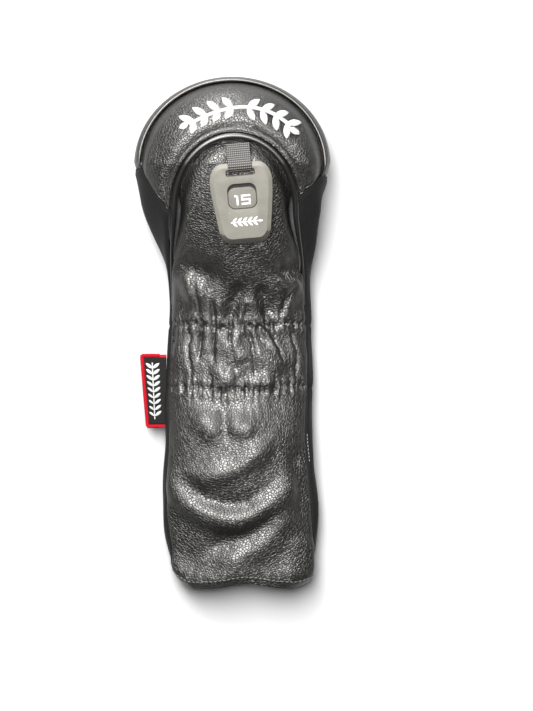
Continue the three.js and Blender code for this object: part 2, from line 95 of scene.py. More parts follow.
cover_width = along([(0, 86), (FLARE_AT, 103), (SLEEVE_AT, 98), (LOWER_GATHER_AT, 98),
                     (UPPER_GATHER_AT, 94.5), (NECK_AT, 94.5), (SHOULDER_AT, 115), (HEAD_AT, 129)])
cover_height = along([(0, 27), (FLARE_AT, 36), (SLEEVE_AT, 41), (LOWER_GATHER_AT, 36),
                      (UPPER_GATHER_AT, 36), (NECK_AT, 46), (SHOULDER_AT, 67), (HEAD_AT, 76)])
cover_shift = along([(0, 6.6), (SLEEVE_AT, 4.3), (NECK_AT, 4.3), (SHOULDER_AT, 0), (HEAD_AT, 0)])


def toward(run, direction, depth):
    """Points in metres that lie in a direction from the cover's middle line, under its surface."""
    width, height = cover_width(run), cover_height(run)
    middle, half = (height - TABLE_SAG) / 2, (height + TABLE_SAG) / 2 - depth
    x = cover_shift(run) + (width / 2 - depth) * direction[0]
    y = run + (CROWN_RISE - depth) * direction[1]
    z = np.maximum(middle + half * direction[2], np.maximum(depth, 0))
    return np.stack([x, y, z], -1) * MM + [0, MOUTH_Y, 0]


def crown_lift(run):
    return np.clip((run - HEAD_AT) / CROWN_RISE, 0, 1) * math.pi / 2


def cover_point(run, angle, depth):
    """run goes from the mouth to the crown's end, angle from the right side over the front."""
    lift = crown_lift(run)
    direction = (np.cos(angle) * np.cos(lift), np.sin(lift), np.sin(angle) * np.cos(lift))
    return toward(np.minimum(run, HEAD_AT), direction, depth)


def select_only(piece):
    bpy.ops.object.select_all(action="DESELECT")
    piece.select_set(True)
    bpy.context.view_layer.objects.active = piece


def merge_close(piece, distance, *steps):
    """Merges a piece's doubles, then takes further edit-mode steps on all of it."""
    select_only(piece)
    bpy.ops.object.mode_set(mode="EDIT")
    bpy.ops.mesh.select_all(action="SELECT")
    bpy.ops.mesh.remove_doubles(threshold=distance)
    for operator, settings in steps:
        operator(**settings)
    bpy.ops.object.mode_set(mode="OBJECT")


def apply_modifier(piece, kind, **settings):
    select_only(piece)
    modifier = piece.modifiers.new(kind.title(), kind)
    for name, value in settings.items():
        setattr(modifier, name, value)
    bpy.ops.object.modifier_apply(modifier=modifier.name)


def face_outward(piece):
    """Turns a sheet's faces away from the cover's middle line."""
    mesh = piece.data
    normals = np.empty(len(mesh.polygons) * 3)
    centres = np.empty(len(mesh.polygons) * 3)
    mesh.polygons.foreach_get("normal", normals)
    mesh.polygons.foreach_get("center", centres)
    normals, centres = normals.reshape(-1, 3), centres.reshape(-1, 3)
    outward = centres - np.stack([cover_shift(0) * MM * np.ones(len(centres)),
                                  np.minimum(centres[:, 1], MOUTH_Y + HEAD_AT * MM),
                                  16 * MM * np.ones(len(centres))], -1)
    if (normals * outward).sum() < 0:
        mesh.flip_normals()


def cloth(name, columns, rows, place, thickness, material, body="cover", orient=face_outward):
    """A grid laid over the cover by place(across, along), and given the cloth's thickness."""
    bpy.ops.object.select_all(action="DESELECT")
    bpy.ops.mesh.primitive_grid_add(x_subdivisions=columns, y_subdivisions=rows, size=1)
    piece = bpy.context.object
    piece.name = piece.data.name = name
    flat = np.empty(len(piece.data.vertices) * 3)
    piece.data.vertices.foreach_get("co", flat)
    flat = flat.reshape(-1, 3)
    points = place(flat[:, 0] + 0.5, flat[:, 1] + 0.5)
    piece.data.vertices.foreach_set("co", points.ravel())
    piece.data.update()
    if orient:
        orient(piece)
    if thickness:
        apply_modifier(piece, "SOLIDIFY", thickness=thickness * MM, offset=-1)
    select_only(piece)
    bpy.ops.object.shade_smooth_by_angle(angle=math.radians(50))
    piece.data.materials.append(material)
    if body:
        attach(piece, body)
    return piece


def stands_for(cad_name):
    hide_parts(cad_name)


def nodes_of(name, base_color, roughness):
    """A new material, its node tree, its shader and the outputs of its texture coordinates."""
    material = bpy.data.materials.new(name)
    material.use_nodes = True
    tree = material.node_tree
    shader = tree.nodes["Principled BSDF"]
    shader.inputs["Base Color"].default_value = (*base_color, 1)
    shader.inputs["Roughness"].default_value = roughness
    return material, tree, shader, tree.nodes.new("ShaderNodeTexCoord").outputs


def node(tree, kind, inputs=(), **settings):
    made = tree.nodes.new("ShaderNode" + kind)
    for name, value in settings.items():
        setattr(made, name, value)
    for name, value in dict(inputs).items():
        if hasattr(value, "is_output"):
            tree.links.new(value, made.inputs[name])
        else:
            made.inputs[name].default_value = value
    return made


def math_node(tree, operation, first, second=0.0):
    return node(tree, "Math", {0: first, 1: second}, operation=operation).outputs[0]


def noise(tree, vector, scale, detail):
    inputs = {"Vector": vector, "Scale": scale, "Detail": detail}
    return node(tree, "TexNoise", inputs).outputs["Fac"]


def wave(tree, vector, scale, direction, inputs=()):
    inputs = {"Vector": vector, "Scale": scale, **dict(inputs)}
    return node(tree, "TexWave", inputs, bands_direction=direction).outputs["Fac"]


def ramp(tree, factor, *stops):
    made = node(tree, "ValToRGB", {"Fac": factor})
    elements = made.color_ramp.elements
    while len(elements) < len(stops):
        elements.new(0.5)
    for element, (place, color) in zip(elements, stops):
        element.position = place
        element.color = (*color, 1)
    return made.outputs["Color"]


def color_by(tree, shader, factor, *stops):
    tree.links.new(ramp(tree, factor, *stops), shader.inputs["Base Color"])


def bump(tree, shader, height, distance, strength=1.0, under=None):
    inputs = {"Height": height, "Distance": distance, "Strength": strength}
    if under:
        inputs["Normal"] = under
    made = node(tree, "Bump", inputs)
    tree.links.new(made.outputs["Normal"], shader.inputs["Normal"])
    return made.outputs["Normal"]


def plush_material():
    material, tree, shader, place = nodes_of("plush", (0.02, 0.02, 0.022), 1.0)
    shader.inputs["Sheen Weight"].default_value = 0.6
    shader.inputs["Sheen Roughness"].default_value = 0.5
    shader.inputs["Specular IOR Level"].default_value = 0.1
    pile = noise(tree, place["Object"], 1400.0, 3.0)
    nap = noise(tree, place["Object"], 90.0, 2.0)
    color_by(tree, shader, nap, (0.3, (0.012, 0.012, 0.013)), (0.7, (0.035, 0.035, 0.038)))
    bump(tree, shader, pile, 0.0006, 0.8)
    return material


plush = plush_material()
LINING_FROM = 12
LINING_DEPTH = 6.6
PADDING_ROOM = 3.6


def recess(run):
    """How far the lining has stepped in to leave room for the padding, from 0 to 1."""
    return np.clip((run - NECK_AT - 11) / (SHOULDER_AT - 14 - NECK_AT), 0, 1)


def lining_place(across, up):
    run = LINING_FROM + up * (LENGTH * 0.985 - 10.5)
    depth = LINING_DEPTH + PADDING_ROOM * recess(run)
    slack = 0.25 * np.sin(run * 0.35) * np.sin(9 * across)
    return cover_point(run, across * 2 * math.pi, depth + slack)


lining = cloth("lining_pile", 72, 110, lining_place, 1.6, plush)
merge_close(lining, 0.00005)
stands_for("lining")

# ---- Elastics ----
# Two ribbed elastic tapes run all round the sleeve between the shell and the lining. They are
# stitched down while stretched, so that the shell gathers over them when they shrink back.


def elastic_material():
    material, tree, shader, place = nodes_of("elastic_tape", (0.015, 0.015, 0.015), 0.85)
    ribs = wave(tree, place["Object"], 500.0, "Y")
    color_by(tree, shader, ribs, (0.2, (0.008, 0.008, 0.008)), (0.9, (0.03, 0.03, 0.03)))
    bump(tree, shader, ribs, 0.0003)
    return material


elastic_tape = elastic_material()
TAPE_WIDTH = 10
for tape_name, tape_at in (("upper_elastic", UPPER_GATHER_AT), ("lower_elastic", LOWER_GATHER_AT)):
    def tape_place(across, up, at=tape_at):
        return cover_point(at + TAPE_WIDTH * (up - 0.5), across * 2 * math.pi, 5.0 + 0 * across)

    tape = cloth(tape_name + "_tape", 96, 6, tape_place, 0.9, elastic_tape)
    stands_for(tape_name)

# ---- Panel outlines ----
# The shell is cut from a front panel, two side panels, a crown and two back panels. Their seam
# lines are shared, so they are set together, as on one paper pattern, with the padding under them.

RIM_LATITUDE = math.radians(18)
BACK_SEAM_DROP = math.radians(22)
HEAD_HALF_HEIGHT = 39.5
RIM_SEAM_ROOM = 1.4
SLEEVE_HALF_WIDTH = 46
SEAM_ROOM = 0.25
ARCH_WIDTH = 85.0
ARCH_RISE = 49.0
ARCH_SHIFT = 2.0
ROLL = 2.1
PIPING_END_AT = NECK_AT + 3
LEFT_CROWN_END_AT = HEAD_AT - 2
RIGHT_CROWN_END_AT = HEAD_AT - 7
RIGHT_CROWN_INNER_AT = HEAD_AT - 20


def smooth(value, start, end):
    share = np.clip((value - start) / (end - start), 0, 1)
    return share * share * (3 - 2 * share)


def strip(neck, side):
    shoulder = (115 - ARCH_WIDTH) / 2 - side * ARCH_SHIFT
    return along([(0, 3.4), (FLARE_AT, 4.2), (SLEEVE_AT, neck + 0.6), (UPPER_GATHER_AT, neck),
                  (NECK_AT, neck), (SHOULDER_AT, shoulder)])


side_strip = {-1: strip(1.3, -1), 1: strip(3.4, 1)}


def over_plan(x, y):
    """run and angle of the front surface over a plan point."""
    lift = np.arcsin(np.clip((y - HEAD_AT) / CROWN_RISE, 0, 1))
    at = np.minimum(y, HEAD_AT)
    share = (x - cover_shift(at)) / (cover_width(at) / 2 * np.cos(lift))
    return at + lift / (math.pi / 2) * CROWN_RISE, np.arccos(np.clip(share, -1, 1))


def angle_of(length, run, angle):
    half_width, half_height = cover_width(run) / 2, (cover_height(run) + TABLE_SAG) / 2
    return length / np.hypot(half_width * np.sin(angle), half_height * np.cos(angle))


def front_edge(run, side, outward, rise=0.0):
    """The angle of the front panel's seam line, moved outward by a length."""
    y = np.minimum(run, HEAD_AT) + CROWN_RISE * np.sin(crown_lift(run))
    up = np.clip((y - SHOULDER_AT) / (ARCH_RISE + rise), 0, 1)
    arch_x = ARCH_SHIFT + side * ARCH_WIDTH / 2 * np.sqrt(1 - up * up)
    low_x = cover_shift(run) + side * (cover_width(run) / 2 - side_strip[side](run))
    angle = over_plan(np.where(run > SHOULDER_AT, arch_x, low_x), y)[1]
    return angle - side * angle_of(outward, np.minimum(run, HEAD_AT), angle)


def arch_plan(share, outward):
    """The arch in plan, from its left end to its right end."""
    right_end = math.asin((RIGHT_CROWN_INNER_AT - SHOULDER_AT) / ARCH_RISE)
    turn = math.pi + (right_end - math.pi) * share
    return (ARCH_SHIFT + (ARCH_WIDTH / 2 + outward) * np.cos(turn),
            SHOULDER_AT + (ARCH_RISE + outward) * np.sin(turn))


def rim_plan(share, latitude):
    """The head's rim in plan, from its left end to its right end."""
    reach = CROWN_RISE * math.cos(latitude)
    left_end = math.pi + math.asin((HEAD_AT - LEFT_CROWN_END_AT) / reach)
    right_end = -math.asin((HEAD_AT - RIGHT_CROWN_END_AT) / reach)
    turn = left_end + (right_end - left_end) * share
    y = HEAD_AT + reach * np.sin(turn)
    half = cover_width(np.minimum(y, HEAD_AT)) / 2 * math.cos(latitude)
    x = np.where(y > HEAD_AT, half * np.cos(turn), half * np.sign(np.cos(turn)))
    return cover_shift(np.minimum(y, HEAD_AT)) + x, y


def polyline_distance(x, y, points):
    """Distance from plan points to a line of points, and how far along it the nearest place is."""
    nearest = np.full(x.shape, 1e9)
    share = np.zeros(x.shape)
    points = np.array(points, float)
    lengths = np.hypot(*np.diff(points, axis=0).T)
    total, passed = lengths.sum(), 0.0
    for start, step, length in zip(points[:-1], np.diff(points, axis=0), lengths):
        t = np.clip(((x - start[0]) * step[0] + (y - start[1]) * step[1]) / length**2, 0, 1)
        away = np.hypot(x - start[0] - t * step[0], y - start[1] - t * step[1])
        closer = away < nearest
        nearest = np.where(closer, away, nearest)
        share = np.where(closer, (passed + t * length) / total, share)
        passed += length
    return nearest, share


# Each fold of the sleeve: height, half breadth, and the line of its crest, in plan.
SOFT_FOLDS = [
    (3.9, 5.2, [(-43, 82), (-38, 67), (-29, 56), (-18, 49), (-7, 45.5), (4, 44.5), (15, 48),
                (27, 57), (37, 66), (42, 76)]),
    (-1.6, 4.0, [(-36, 78), (-30, 66), (-18, 59), (-4, 56), (10, 58), (22, 65)]),
    (2.5, 4.6, [(-30, 78), (-18, 74), (-7, 76), (3, 80), (12, 86), (20, 93), (26, 100)]),
    (2.4, 4.8, [(-43, 24), (-36, 11), (-24, 4), (-6, 4), (8, 7)]),
    (3.2, 5.2, [(26, 2), (40, 5), (50, 15), (55, 30)]),
    (2.0, 5.5, [(-12, 14), (2, 18), (15, 25), (26, 34), (34, 45), (38, 54)]),
    (-1.6, 4.5, [(-22, 22), (-8, 30), (8, 36), (22, 45), (32, 58)]),
    (-1.5, 3.5, [(44, 95), (42, 82), (45, 66), (47, 52)]),
    (1.2, 4.0, [(-43, 62), (-43, 42), (-39, 26)]),
    (3.8, 7.5, [(39, 2), (43, 18), (46, 36)]),
    (2.4, 5.5, [(-19, 111), (-15, 107)]),
    (2.2, 5.0, [(4, 109), (9, 107)]),
    (-1.0, 3.0, [(-6, 124), (-5, 104), (0, 98)]),
    (2.6, 5.0, [(-4, 166), (4, 158), (7, 150)]),
    (2.2, 5.0, [(19, 156), (27, 150)]),
    (1.9, 3.6, [(-6, 141), (-2, 141)]),
    (1.7, 3.6, [(17, 137), (22, 138)]),
    (2.8, 4.6, [(31, 200), (38, 203), (44, 206)]),
    (2.0, 4.2, [(-30, 206), (-26, 196)]),
    (-2.6, 3.6, [(-2, 176), (1, 190), (8, 203)]),
    (-2.4, 3.4, [(25, 180), (24, 190), (18, 202)]),
    (-3.2, 5.0, [(-38, 217), (-24, 212), (-12, 206)]),
    (-3.0, 4.6, [(46, 218), (40, 212), (30, 209)]),
    (1.3, 3.4, [(-8, 244), (-5, 225), (-2, 204)]),
    (1.3, 3.2, [(21, 226), (30, 206)]),
]
# The pleats that the elastics draw up, told in the same way.
PLEATS = [
    (2.0, 1.5, [(-24, 177), (-25, 167), (-27, 155)]),
    (1.9, 1.5, [(-15, 177), (-16, 167), (-18, 156)]),
    (1.7, 2.2, [(-5, 171), (-8, 161), (-10, 148), (-8, 138)]),
    (1.5, 1.3, [(11, 177), (14, 168), (17, 158)]),
    (2.0, 1.4, [(19, 176), (24, 167), (31, 156)]),
    (1.9, 1.5, [(33, 177), (37, 167), (41, 153)]),
    (1.2, 1.8, [(-33, 172), (-34, 158), (-36, 146)]),
    (1.3, 1.2, [(3, 178), (4, 170), (2, 160)]),
    (-1.3, 1.2, [(-3, 175), (-1, 163), (1, 152), (2, 146)]),
    (-1.2, 1.2, [(8, 177), (13, 163), (14, 150), (16, 140)]),
    (-1.8, 1.2, [(22, 176), (29, 162), (33, 152)]),
    (-1.7, 1.2, [(-28, 176), (-29, 160), (-27, 144)]),
    (-1.6, 1.1, [(-20, 177), (-21, 162), (-22, 152)]),
    (-1.5, 1.1, [(-12, 177), (-12, 162), (-12, 150)]),
    (-1.7, 1.2, [(38, 175), (42, 156), (42, 140)]),
    (-1.2, 1.0, [(-38, 174), (-40, 158), (-40, 140)]),
    (1.9, 2.2, [(-30, 206), (-26, 193), (-20, 177)]),
    (1.7, 1.7, [(-16, 193), (-15, 178)]),
    (1.8, 1.7, [(-9, 189), (-7, 177)]),
    (1.6, 1.9, [(10, 194), (6, 184), (3, 176)]),
    (1.5, 1.6, [(13, 193), (16, 182), (19, 176)]),
    (1.7, 1.8, [(40, 196), (36, 186), (33, 178)]),
    (-1.7, 1.5, [(-22, 178), (-23, 193), (-27, 209)]),
    (-1.5, 1.3, [(-12, 178), (-13, 190)]),
    (-1.6, 1.6, [(31, 178), (35, 191), (42, 202)]),
    (-1.4, 1.2, [(7, 178), (10, 188)]),
]


def stitched_line(x, at):
    """The plan place of a gathering line, which dips a little at its middle."""
    return at - 1.4 * np.cos((x - 2) / 20.0) + 0.8 + 0.6 * np.sin(x / 4.7)


def sleeve_folds(x, y):
    """How far the front of the sleeve stands out from its plain shape, in millimetres."""
    out = np.zeros(x.shape)
    for rise, breadth, crest in SOFT_FOLDS + PLEATS:
        away, share = polyline_distance(x, y, crest)
        taper = np.clip(np.minimum(share, 1 - share) * 5, 0, 1) if len(crest) > 2 else 1.0
        if breadth <= 2.3:
            gain, breadth = (0.75, breadth * 1.5) if rise > 0 else (0.95, breadth * 0.75)
        else:
            gain = 1.3
        out += gain * rise * (0.3 + 0.7 * taper) * np.exp(-0.5 * (away / breadth) ** 2)
    for at, seed in ((UPPER_GATHER_AT, 0.0), (LOWER_GATHER_AT, 2.1)):
        off = y - stitched_line(x, at)
        ripple = np.sin(x * 1.05 + seed + 1.3 * np.sin(x * 0.31 + seed))
        ripple += 0.5 * np.sin(x * 1.93 + 3 * seed)
        out += 0.85 * ripple * np.exp(-np.abs(off) / 3.8)
        out -= (0.35 + 0.7 * np.sin(x * 1.05 + seed + 1.2)) * np.exp(-0.5 * (off / 1.1) ** 2)
        out += 0.6 * np.exp(-0.5 * ((np.abs(off) - 4.0) / 2.0) ** 2)
    out += 1.5 * np.exp(-(((y - 154) / 13) ** 2))
    out += 0.35 * np.sin(x * 0.22 + y * 0.09) * np.sin(y * 0.13 - x * 0.05)
    out += 0.10 * np.sin(x * 0.9 + 1.7 * np.sin(y * 0.24)) * np.sin(y * 0.55 + x * 0.2)
    out += 0.45 * np.sin(x * 0.95 + 1.1 * np.sin(x * 0.23)) * np.exp(-(((y - 5.0) / 3.2) ** 2))
    out = 5.5 * np.tanh(out / 5.5)
    lip = 4.2 * (1 - smooth(y, 2, 36))
    return out * smooth(y, -3, 5) * (1 - smooth(y, 246, 262)) + lip


def side_folds(run, angle):
    """The softer folds of the sides and the back, which die away toward the head and the table."""
    out = np.zeros(run.shape)
    arc = angle * SLEEVE_HALF_WIDTH
    for at, seed in ((UPPER_GATHER_AT, 0.4), (LOWER_GATHER_AT, 1.9)):
        off = run - at - 0.6 * np.sin(arc / 9 + seed)
        ripple = np.sin(arc * 0.95 + seed + 1.5 * np.sin(arc * 0.27))
        ripple += 0.5 * np.sin(arc * 1.7 + seed)
        out += 0.45 * ripple * np.exp(-np.abs(off) / 7) * smooth(np.abs(off), 0.2, 2.2)
        out -= 0.35 * np.exp(-0.5 * (off / 2.0) ** 2)
    out += 0.7 * np.sin(arc * 0.16 + run * 0.06) * np.sin(run * 0.085 + 0.8) + 0.3
    return out * smooth(run, 0, 12) * (1 - smooth(run, 214, 246))


def shell_folds(run, angle):
    """Folds of the whole sleeve: the front's, blended into those of the sides and the back."""
    lift = crown_lift(run)
    x = cover_shift(run) + cover_width(run) / 2 * np.cos(angle) * np.cos(lift)
    front = smooth(np.sin(angle), 0.12, 0.5)
    return front * sleeve_folds(x, run) + (1 - front) * side_folds(run, angle)


def hem_wave(angle, run):
    """The mouth's edge: two lobes hang lower, and the front's middle rides up."""
    front = smooth(np.sin(angle), -0.2, 0.6)
    x = SLEEVE_HALF_WIDTH * np.cos(angle)
    lift = 3.8 * np.exp(-((x - 3) / 15) ** 2) - 0.6
    back = 0.6 + 0.8 * np.sin(3 * angle)
    corner = (6.5 - 2.0 * np.sign(x)) * smooth(np.abs(x), 30, 46)
    edge_move = (front * lift + (1 - front) * back) * (1 - smooth(run, 0, 34))
    return edge_move + corner * (1 - smooth(run, 0, 26))


def rolled(room, reach=2.4, depth=1.3):
    """How much a panel's edge turns down into its seam."""
    share = np.clip(1 - room / reach, 0, 1)
    return depth * (1 - np.sqrt(np.clip(1 - share * share, 0, 1)))


# ---- Padding ----
# Two pieces of open-cell foam, one under the crown and one cup under the back of the head. They
# are caught in the rim seam.


def foam_material():
    material, tree, shader, place = nodes_of("foam", (0.33, 0.32, 0.30), 0.95)
    cells = node(tree, "TexVoronoi", {"Vector": place["Object"], "Scale": 900.0})
    color_by(tree, shader, cells.outputs["Distance"],
             (0.1, (0.36, 0.35, 0.32)), (0.7, (0.24, 0.23, 0.21)))
    bump(tree, shader, cells.outputs["Distance"], 0.0004)
    return material


foam = foam_material()


def crown_plan(across, up, inner_room, rim_room):
    inner = arch_plan(across, inner_room)
    outer = rim_plan(across, RIM_LATITUDE + rim_room / HEAD_HALF_HEIGHT)
    share = np.sin(up * math.pi / 2)
    length = np.hypot(outer[0] - inner[0], outer[1] - inner[1])
    x = inner[0] + (outer[0] - inner[0]) * share
    y = inner[1] + (outer[1] - inner[1]) * share
    return over_plan(x, y), length * share, length * (1 - share)


def crown_padding_place(across, up):
    (run, angle), _, _ = crown_plan(across * 0.98 + 0.01, up, 5.5, 4.5)
    return cover_point(run, angle, 3.4 + 0 * run)


def back_head_point(across, up, rim_room, seam_room, depth):
    """The back of the head: up from the back seam, over the crown's end, to the rim seam."""
    latitude = RIM_LATITUDE - rim_room / HEAD_HALF_HEIGHT
    angle = latitude + (-math.pi - 2 * latitude) * across
    join = 0.1
    seam_share = np.clip((-angle - BACK_SEAM_DROP) / (math.pi - 2 * BACK_SEAM_DROP), 0, 1)
    seam_at = RIGHT_CROWN_END_AT + (LEFT_CROWN_END_AT - RIGHT_CROWN_END_AT) * seam_share
    start = seam_at + seam_room
    low_run = start + (HEAD_AT - start) * np.clip(up / join, 0, 1)
    low = np.stack([np.cos(angle), 0 * angle, np.sin(angle)], -1)
    turn = math.pi * across
    high = np.stack([math.cos(latitude) * np.cos(turn), math.cos(latitude) * np.sin(turn),
                     math.sin(latitude) + 0 * turn], -1)
    arc = np.arccos(np.clip((low * high).sum(-1), -1, 1))
    share = np.clip((up - join) / (1 - join), 0, 1)
    sine = np.maximum(np.sin(arc), 1e-6)
    direction = (low * (np.sin((1 - share) * arc) / sine)[:, None]
                 + high * (np.sin(share * arc) / sine)[:, None])
    direction = np.where((arc < 1e-5)[:, None], low, direction)
    direction /= np.linalg.norm(direction, axis=-1, keepdims=True)
    return toward(low_run, direction.T, depth)


def back_padding_place(across, up):
    return back_head_point(across, up, 3.0, 3.0, 3.4 + 0 * up)


for name, place, columns, rows, cad_name in (
    ("crown_padding", crown_padding_place, 72, 12, "crown_foam"),
    ("back_padding", back_padding_place, 60, 30, "back_foam"),
):
    padding = cloth(name, columns, rows, place, 2.6, foam)
    stands_for(cad_name)

# ---- Leather-look shell panels ----
# Black coated cloth with a pebbled face. The back of the sleeve and the back of the head are
# sewn to the side panels and to each other, with the seams turned inward.


def leather_material(name, grain_scale, ior=1.75, grain_depth=0.00016):
    material, tree, shader, place = nodes_of(name, (0.02, 0.02, 0.019), 0.4)
    place = place["Object"]
    squeezed = node(tree, "Mapping", {"Vector": place, "Scale": (1, 1.22, 1)})
    drift = node(tree, "TexNoise", {"Vector": place, "Scale": 420.0, "Detail": 1.0})
    bent = node(tree, "VectorMath", {0: drift.outputs["Color"], 1: (0.5, 0.5, 0.5)},
                operation="SUBTRACT")
    scaled = node(tree, "VectorMath", {0: bent.outputs[0], "Scale": 0.0014}, operation="SCALE")
    moved = node(tree, "VectorMath", {0: squeezed.outputs[0], 1: scaled.outputs[0]},
                 operation="ADD")
    pebbles = node(tree, "TexVoronoi", {"Vector": moved.outputs[0], "Scale": grain_scale},
                   feature="DISTANCE_TO_EDGE")
    fine = noise(tree, place, 2600.0, 2.0)
    patches = noise(tree, place, 30.0, 3.0)
    dome = ramp(tree, pebbles.outputs["Distance"], (0.0, (0, 0, 0)), (0.07, (0.5, 0.5, 0.5)),
                (0.16, (0.88, 0.88, 0.88)), (0.36, (1, 1, 1)))
    color = node(tree, "MixRGB", {"Fac": dome, "Color1": (0.0012, 0.0012, 0.0012, 1),
                                  "Color2": (0.0034, 0.0033, 0.0031, 1)})
    shader.inputs["IOR"].default_value = ior
    shader.inputs["Specular Tint"].default_value = (1, 0.98, 0.94, 1)
    tree.links.new(color.outputs[0], shader.inputs["Base Color"])
    worn = math_node(tree, "MULTIPLY", patches, 0.10)
    polished = math_node(tree, "SUBTRACT", 0.40, math_node(tree, "MULTIPLY", dome, 0.10))
    tree.links.new(math_node(tree, "ADD", worn, polished), shader.inputs["Roughness"])
    shader.inputs["Specular IOR Level"].default_value = 0.5
    grain = bump(tree, shader, fine, 0.00003, 0.4)
    bump(tree, shader, dome, grain_depth, 0.8, grain)
    return material


leather = leather_material("pebbled_leathercloth", 540.0, 1.75, 0.0002)


def back_sleeve_place(across, up):
    end = RIGHT_CROWN_END_AT + (LEFT_CROWN_END_AT - RIGHT_CROWN_END_AT) * across - 0.5
    run = up * end
    right = -BACK_SEAM_DROP - angle_of(SEAM_ROOM, run, BACK_SEAM_DROP)
    angle = right + (-math.pi - 2 * right) * across
    arc = SLEEVE_HALF_WIDTH * np.minimum(angle - (-math.pi - right), right - angle)
    folds = shell_folds(run, angle)
    depth = rolled(arc) + rolled(end - run) + np.maximum(0, -folds) - np.maximum(0, folds) * 0.6
    return cover_point(run + hem_wave(angle, run), angle, depth)


def back_head_place(across, up):
    from_rim, from_seam = 100 * (1 - up), 70 * up
    puff = 0.9 * smooth(up, 0.05, 0.3) * (1 - smooth(up, 0.75, 1))
    depth = rolled(from_rim, 2.0, 0.8) + rolled(from_seam) - puff
    return back_head_point(across, up, 0.9, 0.4, depth)


back_leather = leather_material("back_leathercloth", 560.0, 1.4, 0.00008)
for name, place, columns, rows, flat, area, held in (
    ("back_sleeve_panel", back_sleeve_place, 90, 180, (0.130, 0.281), 0.0276, "gathered"),
    ("back_head_panel", back_head_place, 110, 90, (0.201, 0.096), 0.0128, "stretched"),
):
    panel = cloth("sewn_" + name, columns, rows, place, 1.5, back_leather)
    stands_for(name)

# ---- Side panels ----
# Stretch knit with a fine diagonal rib, one each side. They let the neck of the cover open over
# the club head, and they are topped by the two ends of the crown.


def knit_material():
    material, tree, shader, place = nodes_of("ribbed_knit", (0.018, 0.018, 0.018), 0.7)
    shader.inputs["Sheen Weight"].default_value = 0.01
    shader.inputs["Specular IOR Level"].default_value = 0.15
    turned = node(tree, "Mapping", {"Vector": place["Object"],
                                    "Rotation": (0, 0, math.radians(38))})
    ribs = wave(tree, turned.outputs[0], 210.0, "X",
                {"Distortion": 1.2, "Detail": 1.0, "Detail Scale": 3.0})
    loops = wave(tree, turned.outputs[0], 420.0, "Y", {"Distortion": 0.8})
    weave = math_node(tree, "ADD", math_node(tree, "MULTIPLY", loops, 0.4),
                      ribs)
    color_by(tree, shader, ribs, (0.1, (0.003, 0.003, 0.003)), (0.9, (0.0095, 0.0095, 0.0092)))
    bump(tree, shader, weave, 0.00018, 0.7)
    return material


knit = knit_material()


def side_place(side):
    end = (side + 1) / 2
    inner = arch_plan(np.array(end), ROLL)
    outer = rim_plan(np.array(end), RIM_LATITUDE + RIM_SEAM_ROOM / HEAD_HALF_HEIGHT)
    back = -BACK_SEAM_DROP if side > 0 else math.pi + BACK_SEAM_DROP

    def angle_at(run, across):
        room = SEAM_ROOM + (ROLL - 0.6) * smooth(run, PIPING_END_AT - 25, PIPING_END_AT - 5)
        front = front_edge(run, side, room)
        seam = back + side * angle_of(SEAM_ROOM, run, back)
        return front + (seam - front) * across

    def place(across, up):
        top = np.full(across.shape, float(inner[1]))
        for _ in range(14):
            angle = angle_at(top, across)
            x = cover_point(top, angle, 0)[:, 0] / MM
            past_rim = np.sin(angle) < math.sin(RIM_LATITUDE + RIM_SEAM_ROOM / HEAD_HALF_HEIGHT)
            share = np.where(past_rim, 1, np.clip((x - inner[0]) / (outer[0] - inner[0]), 0, 1))
            top += 0.6 * (inner[1] + (outer[1] - inner[1]) * share - top)
        run = top * up
        angle = angle_at(run, across)
        room = 0.7 * cover_width(run) / 2 * np.abs(angle - angle_at(run, 0 * across))
        rest = 0.7 * cover_width(run) / 2 * np.abs(angle - angle_at(run, 0 * across + 1))
        pull = np.sin(across * 9 + run * 0.04 + side)
        pull = pull * smooth(run, 205, 235) * (1 - smooth(run, 250, 276))
        out = shell_folds(run, angle) * 0.9 + 1.7 * pull * (1 if side > 0 else 0.5)
        puff = 1.3 * smooth(run, 222, 258)
        depth = rolled(room) + rolled(rest) + 0.9 * smooth(run, top - 4, top) - puff - out
        return cover_point(run + hem_wave(angle, run), angle, depth)

    return place


for name, side, flat, area in (("right_side_panel", 1, (0.051, 0.277), 0.0062),
                               ("left_side_panel", -1, (0.063, 0.281), 0.0058)):
    panel = cloth("sewn_" + name, 34, 230, side_place(side), 1.5, knit)
    stands_for(name)

# ---- Front panel ----
# One piece of leather-look cloth: the tongue under the arch, the gathered neck and the front of
# the sleeve. It lies loose over the elastics, so it falls in deep soft folds down to the hem.

FRONT_TOP = float(over_plan(np.array(ARCH_SHIFT), np.array(SHOULDER_AT + ARCH_RISE + 3))[0])


